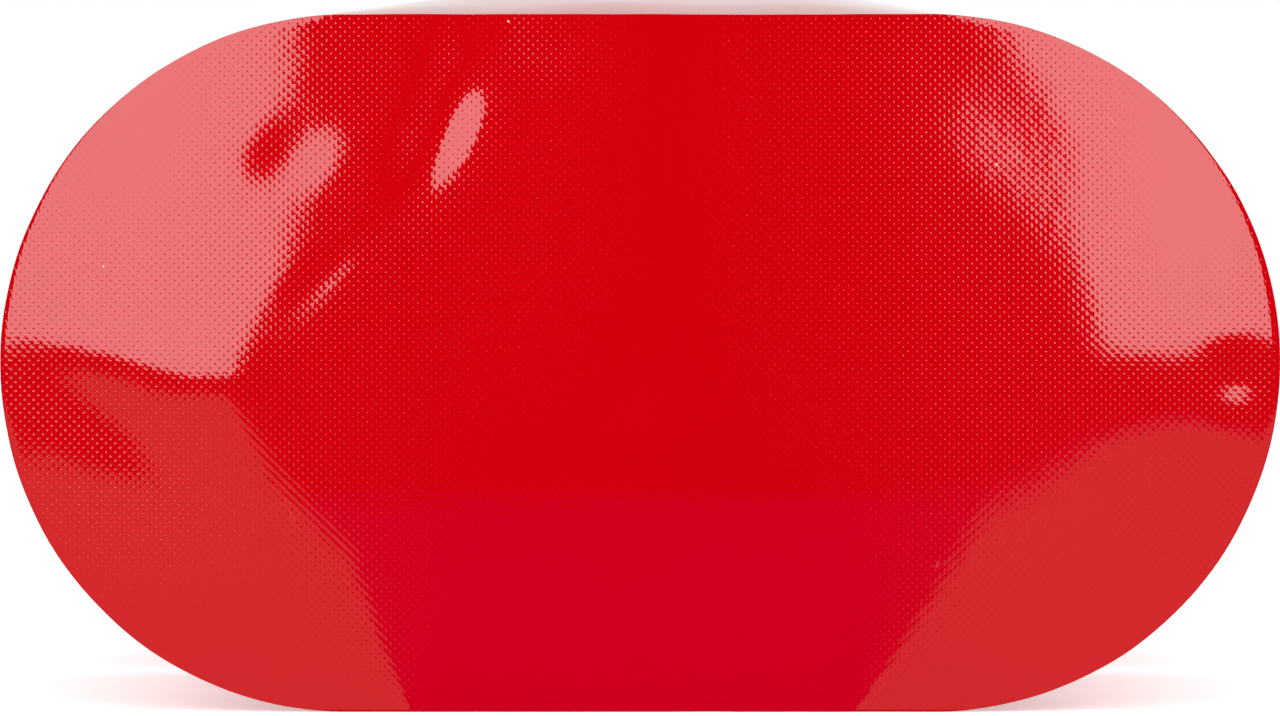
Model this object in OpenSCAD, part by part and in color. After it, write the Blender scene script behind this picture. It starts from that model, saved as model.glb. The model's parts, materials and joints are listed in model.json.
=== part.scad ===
/* [Base] */
// Width of the base panel across its two round ends
base_w = 254; // [210:1:310]
// Height of the base panel, which is also the diameter of its round ends
base_h = 138; // [115:1:170]
// Thickness of the base panel's coated fabric
base_t = 0.9; // [0.6:0.1:1.5]
// Thickness of the stiffening board inside the base
board_t = 3; // [2:0.5:5]
// Thickness of the soft pad that the flares stand on
pad_t = 5; // [3:1:10]

/* [Wall] */
// Length of the wall from the base panel to the mouth
wall_l = 240; // [200:1:290]
// Thickness of the wall's coated fabric
wall_t = 1; // [0.6:0.1:1.4]
// How far the front wall swells outwards at its middle
bulge_h = 11; // [6:1:15]
// Width of the turned-in flange that joins the wall to the base panel
flange_w = 12; // [8:1:18]
// Width of the tape that seals the wall's long seam on the inside
tape_w = 24; // [16:1:32]
// Thickness of the seam tape
tape_t = 0.7; // [0.4:0.1:1]

/* [Mouth] */
// Width of the binding on each face of the wall
binding_w = 18; // [12:1:24]
// Thickness of the binding
binding_t = 1; // [0.6:0.1:1.6]

/* [Markings] */
// Width of the reflective band round the wall
band_w = 25; // [20:1:30]
// Thickness of the reflective band and of the blank card
film_t = 0.4; // [0.2:0.1:0.6]
// Distance from the mouth to the reflective band
band_drop = 83; // [80:1:90]
// Width of the clear label window
window_w = 90; // [60:1:110]
// Length of the clear label window, towards the mouth
window_l = 50; // [30:1:52]
// Distance from the mouth to the label window
window_drop = 25; // [22:1:27]
// Thickness of the clear window
window_t = 0.5; // [0.3:0.1:0.8]
// Width of the welded rim round the card
window_rim = 6; // [4:1:10]

/* [Foam rack] */
// Depth of the foam rack, along the flares
rack_l = 150; // [110:1:170]
// Gap between the rack and the wall
rack_clear = 1.2; // [1:0.1:3]
// Foam left between two pockets in a row
web_x = 27.4; // [15:0.1:29]
// Foam left between the two rows
web_z = 25.4; // [15:0.1:29]
// Radial clearance of a flare in its pocket
pocket_clear = 0.3; // [0.2:0.1:0.6]

/* [Flares] */
// Radius of a flare's paper tube
tube_r = 13; // [10.5:0.1:16]
// Length of the paper tube
tube_l = 288; // [240:1:300]
// Thickness of the paper tube
tube_t = 1.4; // [1:0.1:2]
// Radius of the igniter button on the tip
button_r = 8.5; // [6:0.1:9]
// Height of the igniter button above the tube
button_h = 7; // [4:0.5:10]
// Length of the cap
cap_l = 44; // [36:1:55]
// Wall thickness of the cap
cap_t = 1.6; // [1.2:0.1:2.2]
// Radial clearance of the cap on the tube
cap_clear = 0.3; // [0.2:0.1:0.5]
// Thickness of the cap's end, under the striker
cap_end_t = 2; // [1.5:0.5:4]
// Thickness of the striker disc in the cap's end
striker_t = 1; // [0.6:0.1:1.6]
// Number of grip grooves round a cap
cap_grooves = 18; // [12:1:24]

/* [Handles and rings] */
// Width of the webbing
web_w = 38; // [25:1:50]
// Thickness of the webbing
web_t = 1.8; // [1.2:0.1:2.4]
// Length of each sewn foot of a side handle
foot_l = 22; // [16:1:30]
// Length of the free part of a side handle
bow_l = 72; // [64:1:84]
// Height of the finger gap under a side handle
bow_h = 10; // [9:0.5:12]
// Length of the grip sleeve
grip_l = 52; // [40:1:56]
// Thickness of the grip sleeve
grip_t = 1.4; // [1:0.1:2]
// Length of the sewn part of a ring tab
tab_l = 24; // [18:1:30]
// Radius of the ring's wire
wire_r = 2; // [1.5:0.1:2.5]
// Bend radius of the ring's two corners, at the middle of the wire
bend_r = 3; // [2.6:0.1:5]
// Length of the ring's straight side legs
leg_l = 6; // [4:1:12]

/* [Hidden] */
ROWS = 2;
COLUMNS = 4;
FLARES = ROWS * COLUMNS;
ALL = [for (i = [1:FLARES]) i];
FLARE_PIECES = ["tube", "fill", "button", "cap", "striker"];
BAG_NODES = [
    "base_panel", "base_board", "base_pad", "body_wall", "seam_tape", "mouth_binding",
    "reflective_band", "label_card", "label_window", "foam_rack",
    "left_handle", "right_handle", "left_grip", "right_grip", "left_tab", "right_tab",
    "left_d_ring", "right_d_ring"
];

$fn = 96;
// Facets of the wide shallow curves
WIDE_FN = 720;
// Gap between two layers that are sewn or welded together
lay = 0.05;
// Gap between pieces that slide past each other or only touch
loose = 0.3;
// Clearance of the ring's bar in its webbing loop
bar_clear = 0.1;
// Space left between two pieces sewn in line on the wall
sewn_gap = 4;
// How much higher the cylinder along the bag stands, so that the swell has a level crown
crown_h = 2;
// Margin between the swell of the front wall and what ends it: the round ends, base and binding
swell_edge = 2;
// Distance kept clear at both ends of the seam tape
tape_end = 3;
// Clearance between the base board and the wall
board_clear = 1;
// Space between the igniter button and the cap's end
button_clear = 1;
// Length of the button's plug inside the tube
plug_l = 5;
// Thickness of the paper disc that closes the tube's foot
foot_t = 3;
// Rim left round the striker disc
striker_rim = 3;
// Radius of a cap's grip grooves, and how far they stop short of its ends
groove_r = 0.9;
groove_end = 5;
// Extra length of a cutting solid, so that it passes through
through = 1;

// The wall sits inside the base panel's edge by the thickness of the binding
edge_margin = binding_t + lay;
wall_r = base_h / 2 - edge_margin;
inner_r = wall_r - wall_t;
arc_x = (base_w - base_h) / 2;
centre_z = base_h / 2;
wall_top = centre_z + wall_r;

// Distances along the bag are counted from the base panel's outer face
flange_at = base_t;
board_at = flange_at + wall_t;
pad_at = board_at + board_t;
rack_at = pad_at + pad_t;
flare_at = rack_at + loose;
tip_at = flare_at + tube_l;
cap_at = tip_at + button_h + button_clear + cap_end_t + striker_t - cap_l;
total_l = cap_at + cap_l;
base_y = -total_l / 2;

// The front wall's swell is where two wide cylinders cross
swell_half_w = arc_x - swell_edge;
swell_half_l = (wall_l - binding_w - flange_at) / 2 - swell_edge;
swell_middle = (wall_l - binding_w + flange_at) / 2;
long_r = (pow(swell_half_l, 2) + pow(bulge_h, 2)) / (2 * bulge_h);
cross_h = bulge_h + crown_h;
cross_r = (pow(swell_half_w, 2) + pow(cross_h, 2)) / (2 * cross_h);

pocket_r = tube_r + pocket_clear;
pitch_x = 2 * pocket_r + web_x;
pitch_z = 2 * pocket_r + web_z;
cap_bore_r = tube_r + cap_clear;
cap_r = cap_bore_r + cap_t;

// Side fittings are placed from the mouth downwards
bar_r = wire_r + bar_clear;
loop_r = bar_r + web_t;
sewn_r = wall_r + lay;
bar_x = arc_x + sewn_r + loop_r;
bar_at = wall_l - binding_w - loop_r - loose;
tab_at = bar_at - tab_l;
handle_end = tab_at - sewn_gap;
handle_at = handle_end - 2 * foot_l - bow_l;
bow_r = (pow(bow_l / 2, 2) + pow(bow_h, 2)) / (2 * bow_h);
bow_centre_r = sewn_r + bow_h - bow_r;
bow_centre_at = handle_at + foot_l + bow_l / 2;
ring_half = web_w / 2 + loose + bend_r;

// Places something at a distance from the base panel's outer face, on the bag's axis
module along(at) {
    translate([0, base_y + at, centre_z])
        rotate([-90, 0, 0])
            children();
}

// Outline with two straight sides and two round ends
module obround(r) {
    square([2 * arc_x, 2 * r], center = true);
    for (side = [-1, 1])
        translate([side * arc_x, 0])
            circle(r = r);
}

module obround_plate(r, at, t) {
    along(at)
        linear_extrude(height = t)
            obround(r);
}

module obround_ring(r_out, r_in, at, t) {
    along(at)
        linear_extrude(height = t)
            difference() {
                obround(r_out);
                obround(r_in);
            }
}

// The swell of the front wall, with its surface moved outwards by grow
module bulge(grow) {
    intersection() {
        translate([0, base_y + swell_middle, wall_top + bulge_h - long_r])
            rotate([0, 90, 0])
                cylinder(r = long_r + grow, h = base_w, center = true, $fn = WIDE_FN);
        translate([0, base_y + swell_middle, wall_top + cross_h - cross_r])
            rotate([90, 0, 0])
                cylinder(r = cross_r + grow, h = 2 * wall_l, center = true, $fn = WIDE_FN);
        translate([0, base_y + swell_middle, centre_z + base_h / 2])
            cube([2 * swell_half_w + swell_edge, 2 * swell_half_l + swell_edge, base_h], center = true);
    }
}

// The wall's outside as a solid, with its surface moved outwards by grow
module wall_form(grow, at, l) {
    intersection() {
        union() {
            obround_plate(wall_r + grow, -wall_l, 3 * wall_l);
            bulge(grow);
        }
        translate([-base_w, base_y + at, -base_h])
            cube([2 * base_w, l, 4 * base_h]);
    }
}

// A layer that follows the wall from one distance off its surface to another
module wall_layer(from, to, at, l) {
    difference() {
        wall_form(to, at, l);
        wall_form(from, at - through, l + 2 * through);
    }
}

// Turns a profile of radius and distance about the axis of one round end
module round_end(side, w, r) {
    half_angle = asin(w / 2 / r);
    mirror([side < 0 ? 1 : 0, 0, 0])
        translate([arc_x, base_y, centre_z])
            rotate([-90, 0, 0])
                rotate([0, 0, -half_angle])
                    rotate_extrude(angle = 2 * half_angle, $fn = 360)
                        children();
}

module base_panel() {
    color("#d20114")
        obround_plate(base_h / 2, 0, base_t);
}

module base_board() {
    color("#22242a")
        obround_plate(inner_r - board_clear, board_at, board_t);
}

module base_pad() {
    color("#3a3c40")
        obround_plate(inner_r - board_clear, pad_at, pad_t);
}

module body_wall() {
    color("#c80116")
        difference() {
            union() {
                obround_plate(wall_r, flange_at, wall_l - flange_at);
                bulge(0);
            }
            obround_plate(inner_r, flange_at + wall_t, wall_l);
            bulge(-wall_t);
            obround_plate(inner_r - flange_w, flange_at - through, wall_t + 2 * through);
        }
}

module seam_tape() {
    r = inner_r - lay;
    at = board_at + board_t + tape_end;
    color("#b00014")
        mirror([1, 0, 0])
            translate([arc_x, base_y + at, centre_z])
                rotate([-90, 0, 0])
                    rotate_extrude(angle = 2 * asin(tape_w / 2 / r), $fn = 360)
                        translate([r - tape_t, 0])
                            square([tape_t, wall_l - binding_w - tape_end - at]);
}

module mouth_binding() {
    color("#18191c") {
        obround_ring(wall_r + lay + binding_t, wall_r + lay, wall_l - binding_w, binding_w + lay);
        obround_ring(inner_r - lay, inner_r - lay - binding_t, wall_l - binding_w, binding_w + lay);
        obround_ring(wall_r + lay + binding_t, inner_r - lay - binding_t, wall_l + lay, binding_t);
    }
}

module reflective_band() {
    color("#c9ccd0")
        wall_layer(lay, lay + film_t, wall_l - band_drop - band_w, band_w);
}

// A sheet that lies on the swollen front wall, centred across it
module front_sheet(from, to, w, at, l) {
    intersection() {
        wall_layer(from, to, at, l);
        translate([-w / 2, base_y + at - through, centre_z])
            cube([w, l + 2 * through, base_h]);
    }
}

module label_card() {
    w = window_w - 2 * window_rim;
    l = window_l - 2 * window_rim;
    color("#f2f0ea")
        front_sheet(lay, lay + film_t, w, wall_l - window_drop - window_l + window_rim, l);
}

module label_window() {
    from = lay + film_t + lay;
    color("#dfe8ee", 0.5)
        front_sheet(from, from + window_t, window_w, wall_l - window_drop - window_l, window_l);
}

// Places something on the axis of each flare, with the axis along the bag
module flare_place(i) {
    column = (i - 1) % COLUMNS;
    row = floor((i - 1) / COLUMNS);
    x = (column - (COLUMNS - 1) / 2) * pitch_x;
    z = (row - (ROWS - 1) / 2) * pitch_z;
    translate([x, 0, z])
        children();
}

module foam_rack() {
    color("#2b2d31")
        difference() {
            obround_plate(inner_r - rack_clear, rack_at, rack_l);
            for (i = ALL)
                flare_place(i)
                    along(rack_at - through)
                        cylinder(r = pocket_r, h = rack_l + 2 * through);
        }
}

// Band of webbing seen from the side: two flat feet and a bow between them
module handle_profile() {
    for (at = [handle_at, handle_end - foot_l])
        translate([sewn_r, at])
            square([web_t, foot_l]);
    intersection() {
        translate([bow_centre_r, bow_centre_at])
            difference() {
                circle(r = bow_r + web_t, $fn = 360);
                circle(r = bow_r, $fn = 360);
            }
        translate([sewn_r, handle_at + foot_l - web_t])
            square([bow_h + web_t, bow_l + 2 * web_t]);
    }
}

module handle(side) {
    color("#18191c")
        round_end(side, web_w, sewn_r)
            handle_profile();
}

module grip(side) {
    color("#101113")
        difference() {
            round_end(side, web_w + 2 * grip_t, sewn_r)
                intersection() {
                    translate([bow_centre_r, bow_centre_at])
                        difference() {
                            circle(r = bow_r + web_t + grip_t, $fn = 360);
                            circle(r = bow_r - grip_t, $fn = 360);
                        }
                    translate([sewn_r, bow_centre_at - grip_l / 2])
                        square([bow_h + 2 * web_t + grip_t, grip_l]);
                }
            round_end(side, web_w, sewn_r)
                translate([bow_centre_r, bow_centre_at])
                    intersection() {
                        difference() {
                            circle(r = bow_r + web_t, $fn = 360);
                            circle(r = bow_r, $fn = 360);
                        }
                        translate([0, -bow_l / 2])
                            square([bow_r + 2 * web_t, bow_l]);
                    }
        }
}

// Places something on the bar of one side's ring, with local z along the bar
module ring_place(side) {
    mirror([side < 0 ? 1 : 0, 0, 0])
        translate([bar_x, base_y + bar_at, centre_z])
            children();
}

module tab(side) {
    color("#18191c")
        difference() {
            union() {
                round_end(side, web_w, sewn_r)
                    translate([sewn_r, tab_at])
                        square([2 * web_t, tab_l]);
                ring_place(side)
                    cylinder(r = loop_r, h = web_w, center = true);
            }
            ring_place(side)
                cylinder(r = bar_r, h = web_w + 2 * through, center = true);
        }
}

// One corner of the ring, bent from its bar into a side leg
module ring_corner(end) {
    mirror([0, 0, end < 0 ? 1 : 0])
        translate([0, bend_r, ring_half - bend_r])
            rotate([90, 0, -90])
                rotate_extrude(angle = 90)
                    translate([bend_r, 0])
                        circle(r = wire_r);
}

module d_ring(side) {
    color("#c4c7cb")
        ring_place(side) {
            cylinder(r = wire_r, h = 2 * (ring_half - bend_r), center = true);
            for (end = [-1, 1]) {
                ring_corner(end);
                translate([0, bend_r, end * ring_half])
                    rotate([-90, 0, 0])
                        cylinder(r = wire_r, h = leg_l);
            }
            translate([0, bend_r + leg_l, 0])
                rotate([0, -90, 0])
                    rotate_extrude(angle = 180)
                        translate([ring_half, 0])
                            circle(r = wire_r);
        }
}

// Paper tube, closed at its foot
module flare_tube(i) {
    color("#c8102e")
        flare_place(i)
            along(flare_at)
                difference() {
                    cylinder(r = tube_r, h = tube_l);
                    translate([0, 0, foot_t])
                        cylinder(r = tube_r - tube_t, h = tube_l);
                }
}

// Burning composition cast into the tube
module flare_fill(i) {
    color("#6b5a4a")
        flare_place(i)
            along(flare_at + foot_t + lay)
                cylinder(r = tube_r - tube_t - lay, h = tube_l - foot_t - plug_l - 2 * lay);
}

// Igniter: a plug in the tube's mouth with a button that is struck
module flare_button(i) {
    color("#2a2622")
        flare_place(i)
            along(tip_at - plug_l) {
                cylinder(r = tube_r - tube_t - lay, h = plug_l);
                cylinder(r = button_r, h = plug_l + button_h);
            }
}

module flare_cap(i) {
    bore_l = cap_l - cap_end_t - striker_t;
    color("#e8e4da")
        flare_place(i)
            along(cap_at)
                difference() {
                    cylinder(r = cap_r, h = cap_l);
                    translate([0, 0, -through])
                        cylinder(r = cap_bore_r, h = bore_l + through);
                    translate([0, 0, cap_l - striker_t])
                        cylinder(r = cap_r - striker_rim, h = striker_t + through);
                    for (k = [1:cap_grooves])
                        rotate([0, 0, k * 360 / cap_grooves])
                            translate([cap_r + groove_r / 2, 0, groove_end])
                                cylinder(r = groove_r, h = cap_l - 2 * groove_end, $fn = 24);
                }
}

// Rough disc that the button is struck on
module flare_striker(i) {
    color("#5a2018")
        flare_place(i)
            along(cap_at + cap_l - striker_t)
                cylinder(r = cap_r - striker_rim - lay, h = striker_t);
}

base_panel();
base_board();
base_pad();
body_wall();
seam_tape();
mouth_binding();
reflective_band();
label_card();
label_window();
foam_rack();
handle(-1);  // left_handle
handle(1);  // right_handle
grip(-1);  // left_grip
grip(1);  // right_grip
tab(-1);  // left_tab
tab(1);  // right_tab
d_ring(-1);  // left_d_ring
d_ring(1);  // right_d_ring
for (i = ALL) {
    flare_tube(i);
    flare_fill(i);
    flare_button(i);
    flare_cap(i);
    flare_striker(i);
}
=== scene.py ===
"""Road flare carry bag, lying on its back wall with its base towards the camera.

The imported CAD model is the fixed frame. Every piece made here is placed from the boxes of its nodes.
X runs across the bag, Y from its base to its mouth, and Z up from the floor.
"""

import json
import logging
import math
from contextlib import contextmanager
from dataclasses import dataclass, field
from enum import Enum
from functools import cached_property
from typing import Callable, Iterator, Sequence

import bmesh
import bpy
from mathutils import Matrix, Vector, noise

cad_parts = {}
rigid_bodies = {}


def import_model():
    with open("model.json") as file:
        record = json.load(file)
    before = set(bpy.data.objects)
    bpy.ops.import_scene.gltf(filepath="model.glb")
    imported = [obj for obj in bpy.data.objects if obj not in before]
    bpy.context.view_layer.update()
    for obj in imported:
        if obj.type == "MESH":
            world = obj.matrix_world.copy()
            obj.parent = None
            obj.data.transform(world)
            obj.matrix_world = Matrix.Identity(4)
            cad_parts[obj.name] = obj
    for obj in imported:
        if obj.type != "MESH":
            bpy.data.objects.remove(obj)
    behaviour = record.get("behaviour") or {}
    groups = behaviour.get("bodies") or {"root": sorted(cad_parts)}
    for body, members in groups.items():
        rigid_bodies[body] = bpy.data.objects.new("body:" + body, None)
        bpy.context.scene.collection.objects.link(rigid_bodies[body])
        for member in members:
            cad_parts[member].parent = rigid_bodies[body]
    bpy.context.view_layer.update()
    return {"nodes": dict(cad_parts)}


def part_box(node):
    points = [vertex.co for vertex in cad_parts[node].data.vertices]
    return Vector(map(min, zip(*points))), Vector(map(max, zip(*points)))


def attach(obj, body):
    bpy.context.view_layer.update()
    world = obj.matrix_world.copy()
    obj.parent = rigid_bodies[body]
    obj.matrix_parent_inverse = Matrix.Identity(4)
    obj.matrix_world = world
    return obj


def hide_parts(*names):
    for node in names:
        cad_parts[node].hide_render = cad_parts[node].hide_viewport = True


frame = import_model()

logging.basicConfig(level=logging.INFO, format="%(relativeCreated)7.0f ms %(message)s")
LOG = logging.getLogger("flare_bag")

MM = 0.001
# The body that every soft piece rides on.
BAG = "bag"
# Gap between two pieces that lie on each other.
FIT = 0.05 * MM
# Length of the modelled stitch before it is fitted into its row, where its thickness is 1.
STITCH_LENGTH = 1.5


# ---------------------------------------------------------------- small tools


class Part(Enum):
    """What an edit-mode selection picks."""

    VERTICES = "VERT"
    EDGES = "EDGE"
    FACES = "FACE"


def deselect() -> None:
    """Deselects every object."""
    for thing in bpy.context.scene.objects:
        thing.select_set(False)


def activate(piece: bpy.types.Object) -> None:
    """Makes one object the selected and active one."""
    deselect()
    piece.select_set(True)
    bpy.context.view_layer.objects.active = piece


@contextmanager
def editing(piece: bpy.types.Object) -> Iterator[None]:
    """Edits a piece's mesh inside a with statement, starting with nothing selected.

    Args:
        piece: The mesh object to edit.
    """
    activate(piece)
    bpy.ops.object.mode_set(mode="EDIT")
    bpy.ops.mesh.select_all(action="DESELECT")
    yield
    bpy.ops.object.mode_set(mode="OBJECT")


def pick(piece: bpy.types.Object, part: Part, test: Callable[[object], bool]) -> None:
    """Selects the vertices, edges or faces of the edited mesh that pass a test, and nothing else.

    Args:
        piece: The object in edit mode.
        part: What to select.
        test: Takes one vertex, edge or face and says whether it is selected.
    """
    bpy.ops.mesh.select_mode(type=part.value)
    bpy.ops.mesh.select_all(action="DESELECT")
    mesh = bmesh.from_edit_mesh(piece.data)
    group = {Part.VERTICES: mesh.verts, Part.EDGES: mesh.edges, Part.FACES: mesh.faces}[part]
    for item in group:
        item.select_set(bool(test(item)))
    bmesh.update_edit_mesh(piece.data)


def named(name: str) -> bpy.types.Object:
    """Names the primitive just added, puts its place into its mesh and returns it."""
    piece = bpy.context.object
    piece.name = name
    piece.data.name = name
    bpy.ops.object.transform_apply(location=True, rotation=True, scale=True)
    return piece


def reshape(piece: bpy.types.Object, move: Callable[[Vector], Vector]) -> None:
    """Moves every vertex of a piece by a rule, as a hand would with a sculpting tool.

    Args:
        piece: The object whose mesh is shaped.
        move: Takes a vertex's place and returns its new one.
    """
    for vertex in piece.data.vertices:
        vertex.co = move(vertex.co.copy())
    piece.data.update()


def unwrap(
    piece: bpy.types.Object, flatten: Callable[[Vector], tuple[float, float]], period: float = 0
) -> None:
    """Writes the piece's own UV map in metres of flat cloth.

    Args:
        piece: The object to unwrap, before it is bent to its final shape.
        flatten: Takes a vertex's place and returns its place on the flat cloth.
        period: Length at which the cloth's first direction closes on itself, or 0.
    """
    mesh = piece.data
    layer = mesh.uv_layers.get("UVMap") or mesh.uv_layers.new(name="UVMap")
    flat = [flatten(vertex.co) for vertex in mesh.vertices]
    for face in mesh.polygons:
        first = flat[mesh.loops[face.loop_start].vertex_index][0]
        for index in face.loop_indices:
            u, v = flat[mesh.loops[index].vertex_index]
            turns = round((u - first) / period) if period else 0
            layer.data[index].uv = (u - turns * period, v)


def modify(piece: bpy.types.Object, kind: str, **settings: object) -> None:
    """Adds a modifier with its settings and applies it.

    Args:
        piece: The object to change.
        kind: The modifier's type.
        **settings: The modifier's values.
    """
    activate(piece)
    modifier = piece.modifiers.new(kind.lower(), kind)
    for key, value in settings.items():
        setattr(modifier, key, value)
    bpy.ops.object.modifier_apply(modifier=modifier.name)


def face_outwards(piece: bpy.types.Object) -> None:
    """Merges doubled points and turns all faces outwards."""
    with editing(piece):
        bpy.ops.mesh.select_all(action="SELECT")
        bpy.ops.mesh.remove_doubles(threshold=0.01 * MM)
        bpy.ops.mesh.normals_make_consistent(inside=False)


def soften(piece: bpy.types.Object, angle: float = 35) -> None:
    """Shades a piece smooth, except at edges sharper than an angle in degrees."""
    activate(piece)
    bpy.ops.object.shade_smooth_by_angle(angle=math.radians(angle))


def round_edges(piece: bpy.types.Object, width: float, segments: int, sharper: float) -> None:
    """Rounds the edges of a piece that are sharper than an angle.

    Args:
        piece: The object to change.
        width: Size of the rounding.
        segments: Number of faces across it.
        sharper: The angle in degrees.
    """
    limit = math.radians(sharper)
    modify(piece, "BEVEL", width=width, segments=segments, limit_method="ANGLE", angle_limit=limit)


def dress(piece: bpy.types.Object, *finishes: "Finish") -> None:
    """Gives a piece its materials, in the order of its faces' material numbers."""
    piece.data.materials.clear()
    for finish in finishes:
        piece.data.materials.append(finish.material())


def settle(piece: bpy.types.Object, slot: str, *nodes: str) -> bpy.types.Object:
    """Ties a finished piece of the bag to the frame and reports it.

    Args:
        piece: The finished object.
        slot: The record's material slot; not used.
        *nodes: The CAD nodes that it stands for.

    Returns:
        The same object.
    """
    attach(piece, BAG)
    if nodes:
        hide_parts(*nodes)
    LOG.info("made %s: %d faces", piece.name, len(piece.data.polygons))
    return piece


def smooth(share: float) -> float:
    """Eases a share from 0 to 1, with no corner at either end."""
    share = min(1.0, max(0.0, share))
    return share * share * (3 - 2 * share)


# ------------------------------------------------------------------ materials


def colour(hex_value: str) -> tuple[float, float, float, float]:
    """Turns an sRGB hex value to linear light."""
    channels = [int(hex_value[i : i + 2], 16) / 255 for i in (1, 3, 5)]
    linear = [c / 12.92 if c <= 0.04045 else ((c + 0.055) / 1.055) ** 2.4 for c in channels]
    return (*linear, 1.0)


def fineness(size: float) -> float:
    """Turns the size of a pattern's feature, in millimetres, to a texture scale."""
    return 1 / (size * MM)


def feed(tree: bpy.types.NodeTree, node: bpy.types.Node, inputs: dict) -> None:
    """Fills a node's sockets.

    Args:
        tree: The material's node tree.
        node: The node to fill.
        inputs: Sockets by name or number, each with a value, a hex colour, or the node or socket that feeds it.
    """
    for key, value in inputs.items():
        if isinstance(value, bpy.types.Node):
            value = next(socket for socket in value.outputs if socket.enabled)
        if isinstance(value, bpy.types.NodeSocket):
            tree.links.new(value, node.inputs[key])
        else:
            node.inputs[key].default_value = colour(value) if isinstance(value, str) else value


def add(tree: bpy.types.NodeTree, kind: str, inputs: dict | Sequence = (), **settings: object) -> bpy.types.Node:
    """Adds a shader node with its settings and links.

    Args:
        tree: The material's node tree.
        kind: The node's type without its ShaderNode prefix, then a dot and its operation if it has one.
        inputs: What goes into its sockets, as a list in their order or by name.
        **settings: The node's own properties.

    Returns:
        The new node.
    """
    kind, _, operation = kind.partition(".")
    node = tree.nodes.new(f"ShaderNode{kind}")
    if operation:
        settings["operation"] = operation
    for key, value in settings.items():
        setattr(node, key, value)
    feed(tree, node, inputs if isinstance(inputs, dict) else dict(enumerate(inputs)))
    return node


@dataclass(frozen=True)
class Finish:
    """A material made of nodes.

    Attributes:
        name: The material's name.
        base: Its main colour, as an sRGB hex value.
        roughness: Its roughness.
        ior: Its index of refraction.
        glow: How much light it gives off.
    """

    name: str = "plain"
    base: str = "#808080"
    roughness: float = 0.5
    ior: float = 1.5
    glow: float = 0.0

    def material(self) -> bpy.types.Material:
        """Returns the material, which is made the first time it is asked for."""
        found = bpy.data.materials.get(self.name)
        if found:
            return found
        made = bpy.data.materials.new(self.name)
        made.use_nodes = True
        tree = made.node_tree
        shader = tree.nodes["Principled BSDF"]
        plain = {"Base Color": self.base, "Roughness": self.roughness, "IOR": self.ior}
        feed(tree, shader, plain | {"Emission Strength": self.glow})
        feed(tree, shader, self.detail(tree))
        return made

    def detail(self, tree: bpy.types.NodeTree) -> dict:
        """Adds the finish's own pattern and returns what it gives the shader."""
        return {}


def threads(tree: bpy.types.NodeTree, *pitches: float) -> list[bpy.types.Node]:
    """Adds nodes that count threads along the directions of the cloth.

    Args:
        tree: The material's node tree.
        *pitches: Thread spacing in each direction, in millimetres.

    Returns:
        For each direction, an angle that turns by pi from one thread to the next.
    """
    split = add(tree, "SeparateXYZ", [add(tree, "UVMap", uv_map="UVMap")])
    return [
        add(tree, "Math.MULTIPLY", [split.outputs[axis], math.pi / (pitch * MM)])
        for axis, pitch in enumerate(pitches)
    ]


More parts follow.
